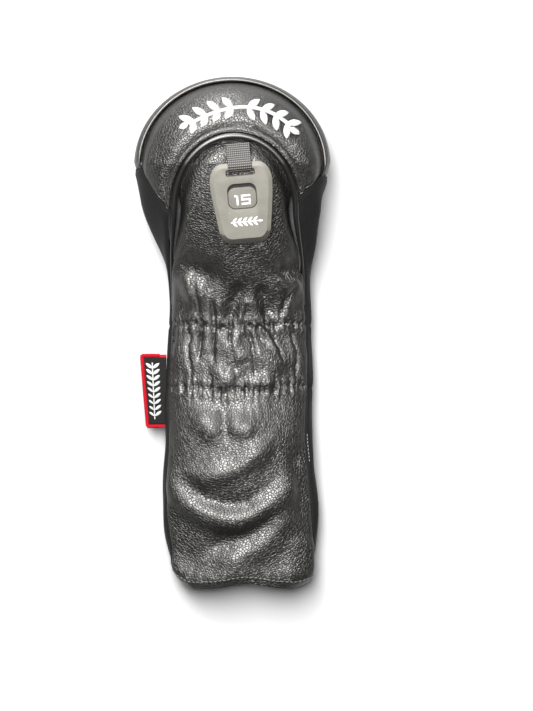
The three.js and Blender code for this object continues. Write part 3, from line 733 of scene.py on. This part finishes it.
def front_place(across, up):
    run = FRONT_TOP * np.sin(up * math.pi / 2) ** 0.85
    inside = SEAM_ROOM + (ROLL - 0.9) * smooth(run, PIPING_END_AT - 25, PIPING_END_AT - 5)
    tucked = smooth(run, SHOULDER_AT + 2, RIGHT_CROWN_INNER_AT + 8)
    under = -inside * (1 - tucked) + 2.5 * tucked
    right = front_edge(run, 1, under, 3)
    left = front_edge(run, -1, under, 3)
    angle = right + (left - right) * across
    arc = 0.95 * cover_width(np.minimum(run, HEAD_AT)) / 2
    room = arc * np.minimum(angle - right, left - angle)
    shade = smooth(run, NECK_AT + 6, SHOULDER_AT)
    plan = cover_point(run, angle, 0) / MM
    arch_share = np.hypot((plan[:, 0] - ARCH_SHIFT) / (ARCH_WIDTH / 2),
                          np.maximum(plan[:, 1] - MOUTH_Y / MM - SHOULDER_AT, 0) / ARCH_RISE)
    room = np.minimum(room, 45 * (1 - arch_share) + 60 * (1 - shade))
    crowned = smooth(room, 0.5, 12) * 3.8 * shade
    bar_away = np.hypot(plan[:, 0] - 5.1, plan[:, 1] - MOUTH_Y / MM - 281)
    under_bar = 3.0 * np.exp(-0.5 * (bar_away / 8.5) ** 2) * shade
    depth = 6.6 * shade + rolled(room) * (1 - tucked) - crowned + under_bar
    return cover_point(run + hem_wave(angle, run), angle, depth - shell_folds(run, angle))


front = cloth("sewn_front_panel", 120, 300, front_place, 1.5, leather)
stands_for("front_panel")

# ---- Crown ----
# The padded horseshoe over the front of the head. Its inner edge is folded under and topstitched,
# and its outer edge is caught in the rim seam with the piping.


def crown_place(across, up):
    (run, angle), from_arch, from_rim = crown_plan(across, up, ROLL - 0.4, 0.4)
    fold = np.clip(1 - ((from_arch - 2.2) / 2.3) ** 2, 0, 1) ** 0.5
    groove = np.exp(-0.5 * ((from_arch - 5.0) / 0.75) ** 2)
    puff = smooth(from_arch, 5.0, 12) * smooth(from_rim, 0, 9)
    plan = cover_point(run, angle, 0) / MM
    x, y = plan[:, 0], plan[:, 1] - MOUTH_Y / MM
    dent = sum(rise * np.exp(-0.5 * (polyline_distance(x, y, line)[0] / breadth) ** 2)
               for rise, breadth, line in ((-1.3, 3.6, [(27, 312), (39, 303)]),
                                           (0.9, 4.0, [(46, 292), (52, 284)]),
                                           (-0.8, 5.0, [(-50, 296), (-44, 284)])))
    ends = rolled(np.minimum(across, 1 - across) * 175, 3.0, 1.0)
    depth = 1.0 - 1.6 * fold + 1.5 * groove - 1.9 * puff + rolled(from_rim, 2.0, 0.7) + ends
    return cover_point(run, angle, depth - dent)


crown = cloth("sewn_crown_panel", 220, 48, crown_place, 1.5, leather)
stands_for("crown_panel")

folded_edge = leather_material("folded_edge", 900.0, 2.2)
crown_ends = []
for end in (0.0, 1.0):
    up = np.linspace(0.02, 0.98, 60)
    crown_ends.append(crown_place(np.full(60, end), up))

# ---- Piping ----
# A cord wrapped in a bias strip of the same cloth. One runs in the rim seam, the other inside
# the crown's arch and down both edges of the tongue to the neck.


def cord_piece(name, points, radii, material, sides=5):
    bpy.ops.object.select_all(action="DESELECT")
    curve = bpy.data.curves.new(name, "CURVE")
    curve.dimensions = "3D"
    curve.bevel_depth = 1.0
    curve.bevel_resolution = sides
    curve.use_fill_caps = True
    spline = curve.splines.new("POLY")
    spline.points.add(len(points) - 1)
    spline.points.foreach_set("co", np.hstack([points, np.ones((len(points), 1))]).ravel())
    spline.points.foreach_set("radius", np.broadcast_to(np.array(radii, float) * MM, len(points)))
    piece = bpy.data.objects.new(name, curve)
    bpy.context.collection.objects.link(piece)
    select_only(piece)
    bpy.ops.object.convert(target="MESH")
    piece = bpy.context.object
    merge_close(piece, 0.00001, (bpy.ops.mesh.normals_make_consistent, {"inside": False}))
    bpy.ops.object.shade_smooth_by_angle(angle=math.radians(60))
    piece.data.materials.append(material)
    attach(piece, "cover")
    return piece


piping_cloth = leather_material("piping_leathercloth", 620.0, 1.75, 0.00004)
share = np.linspace(0, 1, 160)
rim_x, rim_y = rim_plan(share, RIM_LATITUDE)
rim_cord = cord_piece("rim_piping", cover_point(*over_plan(rim_x, rim_y), -0.35 + 0 * share),
                      1.3 - 0.8 * smooth(np.abs(share - 0.5), 0.45, 0.5), piping_cloth)
stands_for("crown_piping")

side_runs = np.arange(PIPING_END_AT - 22, SHOULDER_AT - 1, 1.5)
arch_turn = np.linspace(math.pi, 0, 110)
arch_inset = 0.1 * np.sin(arch_turn)
arch_points = cover_point(*over_plan(ARCH_SHIFT + (ARCH_WIDTH / 2 - arch_inset) * np.cos(arch_turn),
                                     SHOULDER_AT + (ARCH_RISE - arch_inset) * np.sin(arch_turn)),
                          3.1 - 0.3 * np.sin(arch_turn))
legs = []
for side in (-1, 1):
    depth = 1.2 + 1.9 * smooth(side_runs, NECK_AT + 8, SHOULDER_AT)
    legs.append(cover_point(side_runs, front_edge(side_runs, side, 0.0), depth))
leg_radius = 0.9 + 1.1 * smooth(side_runs, NECK_AT + 4, SHOULDER_AT)
arch_radius = 2.0 + 0.35 * np.sin(arch_turn)
for name, points in zip(("left_crown_edge", "right_crown_edge"), crown_ends):
    edge_cord = cord_piece(name, points, 0.5, folded_edge, sides=2)
arch_cord = cord_piece("arch_roll", np.vstack([legs[0], arch_points, legs[1][::-1]]),
                       np.concatenate([leg_radius, arch_radius, leg_radius[::-1]]), piping_cloth)
stands_for("arch_piping")

# ---- Hem facing ----
# A strip of the shell cloth turned up inside the mouth and held by the hem stitches.


def facing_place(across, up):
    run = 0.6 + 13.5 * up
    angle = across * 2 * math.pi
    inward = 1.6 + 4.1 * smooth(up, 0.15, 1)
    depth = inward - (1 - up) * shell_folds(run, angle)
    return cover_point(run + hem_wave(angle, run), angle, depth)


facing = cloth("hem_turn_up", 120, 8, facing_place, 1.0, leather)
stands_for("hem_facing")

# ---- Stitches ----
# Bonded polyester thread in even lockstitches: along the crown's folded edge, over both elastics
# and round the hem.


def thread_material(name, color, roughness=0.55):
    material, tree, shader, place = nodes_of(name, color, roughness)
    twist = wave(tree, place["Object"], 900.0, "DIAGONAL", {"Distortion": 2.0})
    dark = tuple(c * 0.6 for c in color)
    color_by(tree, shader, twist, (0.1, dark), (0.8, color))
    bump(tree, shader, twist, 0.0001, 0.6)
    return material


def resampled(points, pitch):
    """Evenly spaced points along a line, with the direction of the line at each."""
    steps = np.linalg.norm(np.diff(points, axis=0), axis=1)
    passed = np.concatenate([[0], np.cumsum(steps)])
    places = np.arange(pitch / 2, passed[-1], pitch)
    spaced = np.stack([np.interp(places, passed, points[:, i]) for i in range(3)], -1)
    ahead = np.stack([np.interp(places + 1e-4, passed, points[:, i]) for i in range(3)], -1)
    direction = ahead - spaced
    return spaced, direction / np.maximum(np.linalg.norm(direction, axis=1, keepdims=True), 1e-12)


def in_fixed_order(mesh):
    """A mesh's corners and faces sorted by place, because a new sphere's own order varies."""
    corners = np.array([v.co for v in mesh.vertices])
    order = np.lexsort(np.round(corners, 4).T)
    rank = np.argsort(order)
    faces = []
    for polygon in mesh.polygons:
        face = [int(rank[i]) for i in polygon.vertices]
        first = face.index(min(face))
        faces.append(tuple(face[first:] + face[:first]))
    return corners[order], sorted(faces)


def stitch_row(name, lines, pitch, length, thread, material,
               body="cover"):
    """Rows of one modelled stitch, copied along lines of (points, outward directions)."""
    bpy.ops.object.select_all(action="DESELECT")
    bpy.ops.mesh.primitive_uv_sphere_add(segments=8, ring_count=6, radius=0.5)
    piece = bpy.context.object
    one, faces = in_fixed_order(piece.data)
    one[:, 2] *= 1 + 0.25 * np.cos(one[:, 2] * 3)
    corners, polygons = [], []
    for points, outward in lines:
        spaced, forward = resampled(points, pitch)
        nearest = np.array([np.argmin(((points - p) ** 2).sum(1)) for p in spaced])
        up = outward[nearest]
        across = np.cross(forward, up)
        across /= np.maximum(np.linalg.norm(across, axis=1, keepdims=True), 1e-9)
        up = np.cross(across, forward)
        for place, f, u, a in zip(spaced, forward, up, across):
            base = len(corners) * len(one)
            corners.append(place + one[:, [2]] * length * f + one[:, [0]] * thread * a
                           + one[:, [1]] * thread * u)
            polygons += [tuple(base + i for i in face) for face in faces]
    mesh = bpy.data.meshes.new(name)
    mesh.from_pydata(np.vstack(corners).tolist(), [], polygons)
    piece.data = mesh
    piece.name = name
    select_only(piece)
    bpy.ops.object.shade_smooth()
    mesh.materials.append(material)
    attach(piece, body)
    return piece


def seam_line(run, angle, depth):
    points = cover_point(run, angle, depth)
    outer = cover_point(run, angle, depth - 1)
    outward = outer - points
    return points, outward / np.maximum(np.linalg.norm(outward, axis=1, keepdims=True), 1e-9)


black_thread = thread_material("black_thread", (0.03, 0.03, 0.03))
grey_thread = thread_material("grey_thread", (0.16, 0.16, 0.155))
share = np.linspace(0.005, 0.995, 200)
inner_x, inner_y = arch_plan(share, ROLL - 0.4 + 5.0)
crown_line = seam_line(*over_plan(inner_x, inner_y), 1.9 + 0 * share)
stitch_row("crown_topstitch", [crown_line], 3.2 * MM, 2.3 * MM, 0.6 * MM, black_thread)

gather_lines = []
for at in (UPPER_GATHER_AT, LOWER_GATHER_AT):
    x = np.linspace(-38, 44, 200)
    y = stitched_line(x, at)
    run, angle = over_plan(x, y)
    gather_lines.append(seam_line(run, angle, -shell_folds(run, angle) - 0.1))
stitch_row("gather_stitches", gather_lines, 2.9 * MM, 1.9 * MM, 0.4 * MM, black_thread)

# Painted glint: these few side-seam stitches are real, but their grey is lighter than the hem
# thread. The lighter grey stands in for light caught on the thread along this short stretch only.
seam_runs = np.linspace(84, 102, 40)
seam_angle = front_edge(seam_runs, 1, 0.9)
painted_glint_thread = thread_material("painted_glint_seam_thread", (0.26, 0.26, 0.25))
side_seam = seam_line(seam_runs, seam_angle, -shell_folds(seam_runs, seam_angle) - 0.2)
stitch_row("side_seam_stitches", [side_seam], 2.4 * MM, 1.7 * MM, 0.5 * MM, painted_glint_thread)

around = np.linspace(0.1, math.pi - 0.1, 220)
hem_run = 4.6 + 0 * around
hem_line = seam_line(hem_run + hem_wave(around, hem_run), around,
                     -shell_folds(hem_run, around) - 0.15)
stitch_row("hem_stitches", [hem_line], 3.1 * MM, 2.2 * MM, 0.6 * MM, grey_thread)

# ---- Embroidery ----
# A white laurel sprig in satin stitch, worked on the crown before the cover was sewn. Each leaf
# is a raised bed of threads that run across it.


def satin_material():
    material, tree, shader, place = nodes_of("white_satin_stitch", (0.48, 0.48, 0.47), 0.5)
    shader.inputs["Sheen Weight"].default_value = 0.3
    threads = wave(tree, place["Object"], 620.0, "DIAGONAL", {"Distortion": 1.0})
    color_by(tree, shader, threads, (0.05, (0.2, 0.2, 0.2)), (0.6, (0.48, 0.48, 0.47)))
    bump(tree, shader, threads, 0.00015, 0.7)
    return material


satin = satin_material()


def leaf_points(start, end, breadth, columns=14, rows=5):
    """A leaf's bed in plan: pointed at both ends, and highest along its middle."""
    start, end = np.array(start, float), np.array(end, float)
    step = end - start
    normal = np.array([-step[1], step[0]]) / np.hypot(*step)
    t = np.linspace(0, 1, columns + 1)[:, None]
    s = np.linspace(-1, 1, rows + 1)[None, :]
    half = breadth / 2 * np.sin(math.pi * t) ** 0.75
    x = start[0] + step[0] * t + normal[0] * half * s
    y = start[1] + step[1] * t + normal[1] * half * s
    rise = np.sqrt(np.clip(1 - s * s, 0, 1)) * np.sin(math.pi * t) ** 0.5
    return x, y, rise


def motif(name, beds, surface, lift, thickness, material, body):
    """Raised beds of stitches: surface(x, y, height) gives the points of each bed."""
    corners, polygons = [], []
    for x, y, rise in beds:
        n, m = x.shape
        base = len(corners)
        corners += surface(x.ravel(), y.ravel(), (lift + thickness * rise).ravel()).tolist()
        corners += surface(x.ravel(), y.ravel(), np.full(x.size, lift - 0.35)).tolist()
        low = base + n * m
        for i in range(n - 1):
            for j in range(m - 1):
                a, b, c, d = (i * m + j, (i + 1) * m + j, (i + 1) * m + j + 1, i * m + j + 1)
                polygons.append((base + a, base + b, base + c, base + d))
                polygons.append((low + a, low + d, low + c, low + b))
        ring = ([(i, 0) for i in range(n)] + [(n - 1, j) for j in range(1, m)]
                + [(i, m - 1) for i in range(n - 2, -1, -1)]
                + [(0, j) for j in range(m - 2, 0, -1)])
        for (i, j), (k, l) in zip(ring, ring[1:] + ring[:1]):
            polygons.append((base + k * m + l, base + i * m + j, low + i * m + j, low + k * m + l))
    mesh = bpy.data.meshes.new(name)
    mesh.from_pydata(corners, [], polygons)
    piece = bpy.data.objects.new(name, mesh)
    bpy.context.collection.objects.link(piece)
    merge_close(piece, 0.000002, (bpy.ops.mesh.dissolve_degenerate, {"threshold": 0.000002}),
                (bpy.ops.mesh.normals_make_consistent, {"inside": False}))
    bpy.ops.object.shade_smooth_by_angle(angle=math.radians(50))
    mesh.materials.append(material)
    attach(piece, body)
    return piece


def on_crown(x, y, height):
    run, angle = over_plan(x, y)
    return cover_point(run, angle, -1.15 - height)


def on_arc(place, off):
    """A plan point on the sprig's arc: place along it in degrees from the top, off outward."""
    turn = math.radians(90 - place)
    return (ARCH_SHIFT + 1 + (57 + off) * math.cos(turn),
            SHOULDER_AT + 4 + (62 + off) * math.sin(turn))


def stem_sway(place):
    return 1.6 * math.sin(math.radians(place * 4))


def half_round(s):
    return np.sqrt(1 - s * s * 0.98)


def stem_bed(places, breadth):
    points = np.array([on_arc(p, stem_sway(p)) for p in places])
    step = np.gradient(points, axis=0)
    normal = np.stack([-step[:, 1], step[:, 0]], -1) / np.linalg.norm(step, axis=1, keepdims=True)
    s = np.linspace(-1, 1, 5)
    x = points[:, [0]] + normal[:, [0]] * breadth / 2 * s
    y = points[:, [1]] + normal[:, [1]] * breadth / 2 * s
    return x, y, np.broadcast_to(half_round(s), x.shape)


beds = [stem_bed(np.linspace(-33, 37, 60), 2.2)]
for place in (-29, -20, -11, -2, 7, 16, 25, 34):
    sign = 1 if place >= 0 else -1
    base = on_arc(place, stem_sway(place))
    for off in (7.5, -7.0):
        tip = on_arc(place + sign * 6.5, off)
        beds.append(leaf_points(base, tip, 4.4))
beds += [leaf_points(on_arc(s, 0), on_arc(s * 1.2, 1), 4.0) for s in (-33, 37)]
sprig = motif("crown_sprig", beds, on_crown, 0.05, 0.65, satin, "cover")
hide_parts("crown_embroidery")

# ---- Webbing loop ----
# Ribbed grey webbing, folded round the tag's bar. Both ends are sewn in under the arch.

WAVE_PER_UNIT = 0.31416  # the wave texture's scale for one band across a UV map
WEBBING_WIDTH = 15.4
WEBBING_THICKNESS = 1.1
STRAP_LEAN = math.radians(5)
ROOT = np.array(frame["record"]["behaviour"]["joints"][0]["pos_m"])
BAR = np.array(frame["record"]["behaviour"]["joints"][1]["pos_m"])
strap_down = (BAR - ROOT) / np.linalg.norm(BAR - ROOT)
strap_across = np.array([math.cos(STRAP_LEAN), math.sin(STRAP_LEAN), 0])
strap_out = np.cross(strap_across, -strap_down)


def webbing_material():
    material, tree, shader, place = nodes_of("ribbed_webbing", (0.2, 0.19, 0.18), 0.62)
    ribs = wave(tree, place["UV"], WAVE_PER_UNIT * 27, "Y", {"Distortion": 0.3, "Detail": 1.0})
    picks = wave(tree, place["UV"], WAVE_PER_UNIT * 12, "X", {"Distortion": 0.6})
    over_under = math_node(tree, "ADD", 0.35, math_node(tree, "MULTIPLY", picks, 0.65))
    lifted = math_node(tree, "MULTIPLY", ribs, over_under)
    color_by(tree, shader, lifted, (0.2, (0.005, 0.0048, 0.0045)), (0.85, (0.19, 0.182, 0.168)))
    bump(tree, shader, lifted, 0.0004, 0.9)
    return material


webbing = webbing_material()
loop_radius, root_radius = 3.75, 0.95
drop = np.linalg.norm(BAR - ROOT) / MM
lean = math.asin((loop_radius - root_radius) / drop)
end_turn = np.linspace(math.pi / 2 - lean, 1.5 * math.pi + lean, 26)
root_turn = np.linspace(-math.pi / 2 + lean, math.pi / 2 - lean, 12)
loop_down = np.concatenate([-root_radius * np.cos(root_turn),
                            drop - loop_radius * np.cos(end_turn)])
loop_out = np.concatenate([root_radius * np.sin(root_turn), loop_radius * np.sin(end_turn)])
loop_path = np.stack([loop_down, loop_out], -1)
loop_path = np.vstack([loop_path, loop_path[:1]])
passed = np.concatenate([[0], np.cumsum(np.linalg.norm(np.diff(loop_path, axis=0), axis=1))])


def strap_place(across, up):
    down = np.interp(up * passed[-1], passed, loop_path[:, 0])
    out = np.interp(up * passed[-1], passed, loop_path[:, 1])
    place = (across - 0.5) * WEBBING_WIDTH
    return (ROOT + MM * (down[:, None] * strap_down + out[:, None] * strap_out
                         + place[:, None] * strap_across))


def face_off_loop(piece):
    mesh = piece.data
    middle = ROOT + strap_down * drop * 0.6 * MM
    total = sum(p.area * p.normal.dot(p.center - type(p.center)(middle)) for p in mesh.polygons)
    if total < 0:
        mesh.flip_normals()


strap = cloth("webbing_loop", 30, 90, strap_place, 0, webbing, body=None, orient=face_off_loop)
apply_modifier(strap, "SOLIDIFY", thickness=WEBBING_THICKNESS * MM, offset=0)
apply_modifier(strap, "WELD", merge_threshold=0.00001)
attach(strap, "strap")
stands_for("strap_loop")

# ---- Number tag ----
# Two moulded shells of matt grey rubber, closed over the bar that the webbing loops round. Their
# edges are softly rounded.


tag_out = np.array(frame["record"]["behaviour"]["joints"][2]["axis"])
tag_out = tag_out / np.linalg.norm(tag_out)
tag_across = strap_across
tag_up = np.cross(tag_out, tag_across)


def softened(cad_name, name, breadth, material, body, reshape=None):
    """A finished copy of a moulded piece, with its edges rounded."""
    source = bpy.data.objects[cad_name]
    piece = bpy.data.objects.new(name, source.data.copy())
    bpy.context.collection.objects.link(piece)
    piece.data.materials.clear()
    if reshape:
        reshape(piece.data)
    flat_join = {"angle_limit": math.radians(1.5)}
    merge_close(piece, 0.00002, (bpy.ops.mesh.dissolve_limited, flat_join))
    apply_modifier(piece, "BEVEL", width=breadth * MM, segments=3, limit_method="ANGLE",
                   angle_limit=math.radians(24))
    bpy.ops.object.shade_smooth_by_angle(angle=math.radians(28))
    piece.data.materials.append(material)
    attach(piece, body)
    stands_for(cad_name)
    return piece


def tag_frame(points):
    """Places in the tag's own frame, in millimetres: across, up from the bar, and out."""
    return (points - BAR) @ np.stack([tag_across, tag_up, tag_out], -1) / MM


def from_tag(x, y, out):
    return BAR + MM * (x[:, None] * tag_across + y[:, None] * tag_up + out[:, None] * tag_out)


def straight_chamfer(mesh):
    """Straightens the moulded edge, and makes it longer at the tag's foot."""
    points = np.empty(len(mesh.vertices) * 3)
    mesh.vertices.foreach_get("co", points)
    x, y, out = tag_frame(points.reshape(-1, 3)).T
    side, rise = np.sign(out), np.abs(out)
    for curved, straight in ((1.80, 1.25), (1.25, 0.70)):
        rise = np.where(np.abs(np.abs(out) - curved) < 0.06, straight, rise)
    foot = smooth(-y, 43, 51)
    out = side * rise
    front_low, back_low = 0.5 - 1.6 * foot, -2 + (out + 2) * 0.13
    out = np.where(out >= 0.45, front_low + (out - 0.5) / 1.5 * (2 - front_low),
                   np.where(out > 0, out - 1.6 * foot, out + (back_low - out) * foot))
    lifted = y + 1.6 * (rise - 0.5) / 1.5 * smooth(-y, 42, 50)
    y = np.where((y < -39) & (rise > 0.6) & (side > 0), lifted, y)
    mesh.vertices.foreach_set("co", from_tag(x, y, out).ravel())
    mesh.update()


def rubber_material(name, light, dark, grit):
    material, tree, shader, place = nodes_of(name, light, 0.6)
    speckle = noise(tree, place["Object"], 1900.0, 3.0)
    haze = noise(tree, place["Object"], 120.0, 2.0)
    mixed = math_node(tree, "ADD", math_node(tree, "MULTIPLY", speckle, 0.6),
                      math_node(tree, "MULTIPLY", haze, 0.4))
    color_by(tree, shader, mixed, (0.32, dark), (0.66, light))
    bump(tree, shader, speckle, grit, 0.6)
    return material


tag_rubber = rubber_material("tag_rubber", (0.165, 0.157, 0.134), (0.120, 0.114, 0.097), 0.00012)
tag_face = softened("tag_front_shell", "tag_face", 0.3, tag_rubber, "tag",
                    straight_chamfer)
# Painted shade: the down-facing chamfer faces at the tag's foot get a darker copy of the same grey
# rubber. It stands in for the shade that falls on them; the real chamfer is the same rubber as the
# face.
foot_painted_shade = rubber_material("tag_foot_painted_shade", (0.062, 0.058, 0.05), (0.045, 0.042, 0.036),
                              0.00012)
tag_face.data.materials.append(foot_painted_shade)
for polygon in tag_face.data.polygons:
    _, y, _ = tag_frame(np.array(polygon.center))
    normal = np.array(polygon.normal)
    if y < -38 and normal @ tag_up < -0.3 and normal @ tag_out < 0.93:
        polygon.material_index = 1
tag_back = softened("tag_back_shell", "tag_back", 0.3, tag_rubber, "tag",
                    straight_chamfer)

pocket_shade = rubber_material("pocket_shade", (0.022, 0.021, 0.02), (0.012, 0.012, 0.011), 0.00006)
tag_back.data.materials.append(pocket_shade)
for polygon in tag_back.data.polygons:
    _, y, out = tag_frame(np.array(polygon.center))
    if abs(out + 1) < 0.05 and -30 < y < -11:
        polygon.material_index = 1

# ---- Number insert ----
# A small moulded plate pressed into the tag's window, printed with the club's loft. It is
# pried out by the gap over it.

insert_plastic = rubber_material("insert_plastic", (0.150, 0.143, 0.122), (0.110, 0.104, 0.089),
                                 0.00008)
softened("number_insert", "number_plate", 0.25, insert_plastic, "insert")

white_print = thread_material("white_print", (0.7, 0.7, 0.69), 0.5)


def on_plate(height_over):
    return lambda x, y, height: from_tag(x, y, height_over + height)


def bar_bed(start, end, breadth):
    """One straight stroke of print: a flat bar between two plan points."""
    start, end = np.array(start, float), np.array(end, float)
    step = end - start
    normal = np.array([-step[1], step[0]]) / np.hypot(*step) * breadth / 2
    t = np.linspace(0, 1, 2)[:, None]
    s = np.linspace(-1, 1, 2)[None, :]
    return (start[0] + step[0] * t + normal[0] * s, start[1] + step[1] * t + normal[1] * s,
            np.ones((2, 2)))


FIGURE_Y = -22.8
MARK_Y = -37.6
PLATE_TOP, SHELL_TOP = 1.3, 2.0
one = [((-3.4, 3.4), (-3.4, -3.4)), ((-5.3, 2.75), (-2.75, 2.75))]
five = [((5.3, 2.75), (-0.9, 2.75)), ((-0.25, 2.75), (-0.25, 0.15)), ((-0.9, 0.15), (5.3, 0.15)),
        ((4.65, 0.15), (4.65, -2.75)), ((5.3, -2.75), (-0.9, -2.75))]
strokes = [bar_bed((a[0], a[1] + FIGURE_Y), (b[0], b[1] + FIGURE_Y), 1.3) for a, b in one + five]
motif("plate_number", strokes, on_plate(PLATE_TOP), 0.0, 0.12, white_print,
      "insert")

tag_marks = [bar_bed((-9, MARK_Y), (9, MARK_Y), 0.7)]
for x in np.linspace(-8, 5.6, 5):
    tag_marks += [leaf_points((x, MARK_Y), (x + 3.2, MARK_Y + rise), 1.5, 8, 3)
                  for rise in (3.0, -3.0)]
tag_marks.append(leaf_points((8.6, MARK_Y), (12.2, MARK_Y), 1.6, 8, 3))
motif("tag_mark", tag_marks, on_plate(SHELL_TOP), 0.02, 0.12, white_print, "tag")

# ---- Side label ----
# A folded woven label caught in the left seam: black damask faces, and a red overlocked edge
# on its three free sides.


def weave_material(name, light, dark, scale):
    material, tree, shader, place = nodes_of(name, light, 0.75)
    shader.inputs["Specular IOR Level"].default_value = 0.15
    rows = wave(tree, place["Object"], scale, "X", {"Distortion": 0.4})
    columns = wave(tree, place["Object"], scale * 0.7, "Y", {"Distortion": 0.4})
    mixed = math_node(tree, "MULTIPLY", rows, columns)
    color_by(tree, shader, mixed, (0.05, dark), (0.6, light))
    bump(tree, shader, mixed, 0.00015, 0.7)
    return material


damask = weave_material("black_damask", (0.013, 0.0125, 0.012), (0.004, 0.004, 0.004), 520.0)
red_thread = weave_material("red_overlock", (0.52, 0.006, 0.018), (0.28, 0.003, 0.009), 420.0)
back_low, back_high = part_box("label_backing")
label_x, label_z = back_high.x / MM + 1.6, (back_low.z + back_high.z) / 2 / MM
label_y = (back_low.y + back_high.y) / 2 / MM


LABEL_LENGTH = 50
LABEL_REACH, LABEL_FLARE = 13.9, 4  # how far its lower corner stands out, and the upper one more
SPRIG_LEAN = 0.045


def label_x_at(across, y_share, border):
    width = LABEL_REACH + LABEL_FLARE * y_share - border
    return label_x - width * across


def label_curl(across, y_share):
    return 0.5 * across**2 + 0.35 * np.sin(y_share * 4.2) * across


def label_sheet(name, border, low, thickness, material, cad_name):
    def place(across, up):
        y = label_y + (up - 0.5) * (LABEL_LENGTH - 2 * border)
        x = label_x_at(across, 0.5 + (y - label_y) / LABEL_LENGTH, border)
        return np.stack([x, y, label_z + low + label_curl(across, up)], -1) * MM

    piece = cloth(name, 24, 60, place, 0, material, body=None, orient=None)
    if piece.data.polygons[0].normal.z < 0:
        piece.data.flip_normals()
    apply_modifier(piece, "SOLIDIFY", thickness=thickness * MM, offset=1)
    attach(piece, "label")
    stands_for(cad_name)


for name, border, low, thickness, material, cad_name, slot_name, flat, area in (
    ("label_core", 0.7, -0.3, 0.6, red_thread, "label_backing", "red_weave",
     (0.0171, 0.0488), 0.00074),
    ("label_face", 2.5, 0.35, 0.35, damask, "label_front_face", "black_weave",
     (0.0152, 0.0452), 0.0006),
    ("label_reverse", 2.5, -0.7, 0.35, damask, "label_back_face", "black_weave",
     (0.0152, 0.0452), 0.0006),
):
    label_sheet(name, border, low, thickness, material, cad_name)

EDGE_INSET = 1.3
edge = []
for across, y_share in ([(a, 1.0) for a in np.linspace(0.27, 1, 16)]
                        + [(1.0, s) for s in np.linspace(1, 0, 50)[1:-1]]
                        + [(a, 0.0) for a in np.linspace(1, 0.27, 16)]):
    y = label_y + (y_share - 0.5) * (LABEL_LENGTH - 2 * EDGE_INSET)
    edge.append([label_x_at(across, y_share, EDGE_INSET), y, label_z + label_curl(across, y_share)])
edge = np.array(edge) * MM
outward = np.tile([0.0, 0.0, 1.0], (len(edge), 1))
stitch_row("label_overlock", [(edge, outward)], 0.62 * MM, 0.85 * MM, 2.7 * MM, red_thread,
           "label")


def on_label(x, y, height):
    across = (label_x - x) / 16
    share = 0.5 + (y - label_y) / LABEL_LENGTH
    z = label_z + 0.70 + label_curl(across, share) + height
    return np.stack([x, y, z], -1) * MM


middle_x = label_x - 8.6
sprig_beds = []
for i, y in enumerate(np.linspace(-17, 15, 9)):
    centre = (middle_x - SPRIG_LEAN * y, label_y + y)
    for side in (-1, 1):
        sprig_beds.append(leaf_points(centre, (centre[0] + side * 4.6, centre[1] + 3.6), 2.2, 8, 4))
stem = np.linspace(-19, 19, 30)
s = np.linspace(-1, 1, 5)
sprig_beds.append((middle_x - SPRIG_LEAN * stem[:, None] + 0.45 * s,
                   label_y + stem[:, None] + 0 * s, np.broadcast_to(half_round(s), (30, 5))))
motif("label_sprig", sprig_beds, on_label, 0.0, 0.25, satin, "label")

# ---- Table, light and camera ----
# The cover lies on its back on a white table under a large soft light.

bpy.ops.object.select_all(action="DESELECT")
bpy.ops.mesh.primitive_plane_add(size=6, location=(0, 0, -0.0003))
table = bpy.context.object
table.name = "table"
table_paint, _, shader, _ = nodes_of("white_table", (0.48, 0.48, 0.48), 0.9)
shader.inputs["Specular IOR Level"].default_value = 0.0
table.data.materials.append(table_paint)


def soft_light(name, place, aim, size, power):
    light = bpy.data.lights.new(name, "AREA")
    light.shape = "RECTANGLE"
    light.size, light.size_y = size
    light.energy = power
    holder = bpy.data.objects.new(name, light)
    bpy.context.collection.objects.link(holder)
    holder.location = place
    direction = np.array(aim, float) - np.array(place, float)
    holder.rotation_euler = Vector(direction).to_track_quat("-Z", "Y").to_euler()
    holder.visible_camera = False


soft_light("key_window", (-0.15, 0.40, 1.15), (-0.02, 0.1, 0.03), (0.5, 1.1), 48)
soft_light("low_window", (-0.12, 1.35, 0.5), (0, 0.05, 0.04), (0.5, 0.5), 16)
world = bpy.data.worlds.new("studio")
bpy.context.scene.world = world
world.use_nodes = True
world.node_tree.nodes["Background"].inputs["Color"].default_value = (1, 1, 1, 1)
world.node_tree.nodes["Background"].inputs["Strength"].default_value = 0.07
bpy.context.scene.view_settings.view_transform = "Standard"
bpy.context.scene.view_settings.look = "None"

VIEW_HEIGHT = 0.474
DISTANCE = 2.2
camera = bpy.data.cameras.new("camera")
camera.sensor_fit = "AUTO"
camera.sensor_width = 36
camera.lens = 36 * DISTANCE / VIEW_HEIGHT
holder = bpy.data.objects.new("camera", camera)
bpy.context.collection.objects.link(holder)
holder.location = (0.0227, -0.0148, DISTANCE + 0.03)
bpy.context.scene.camera = holder
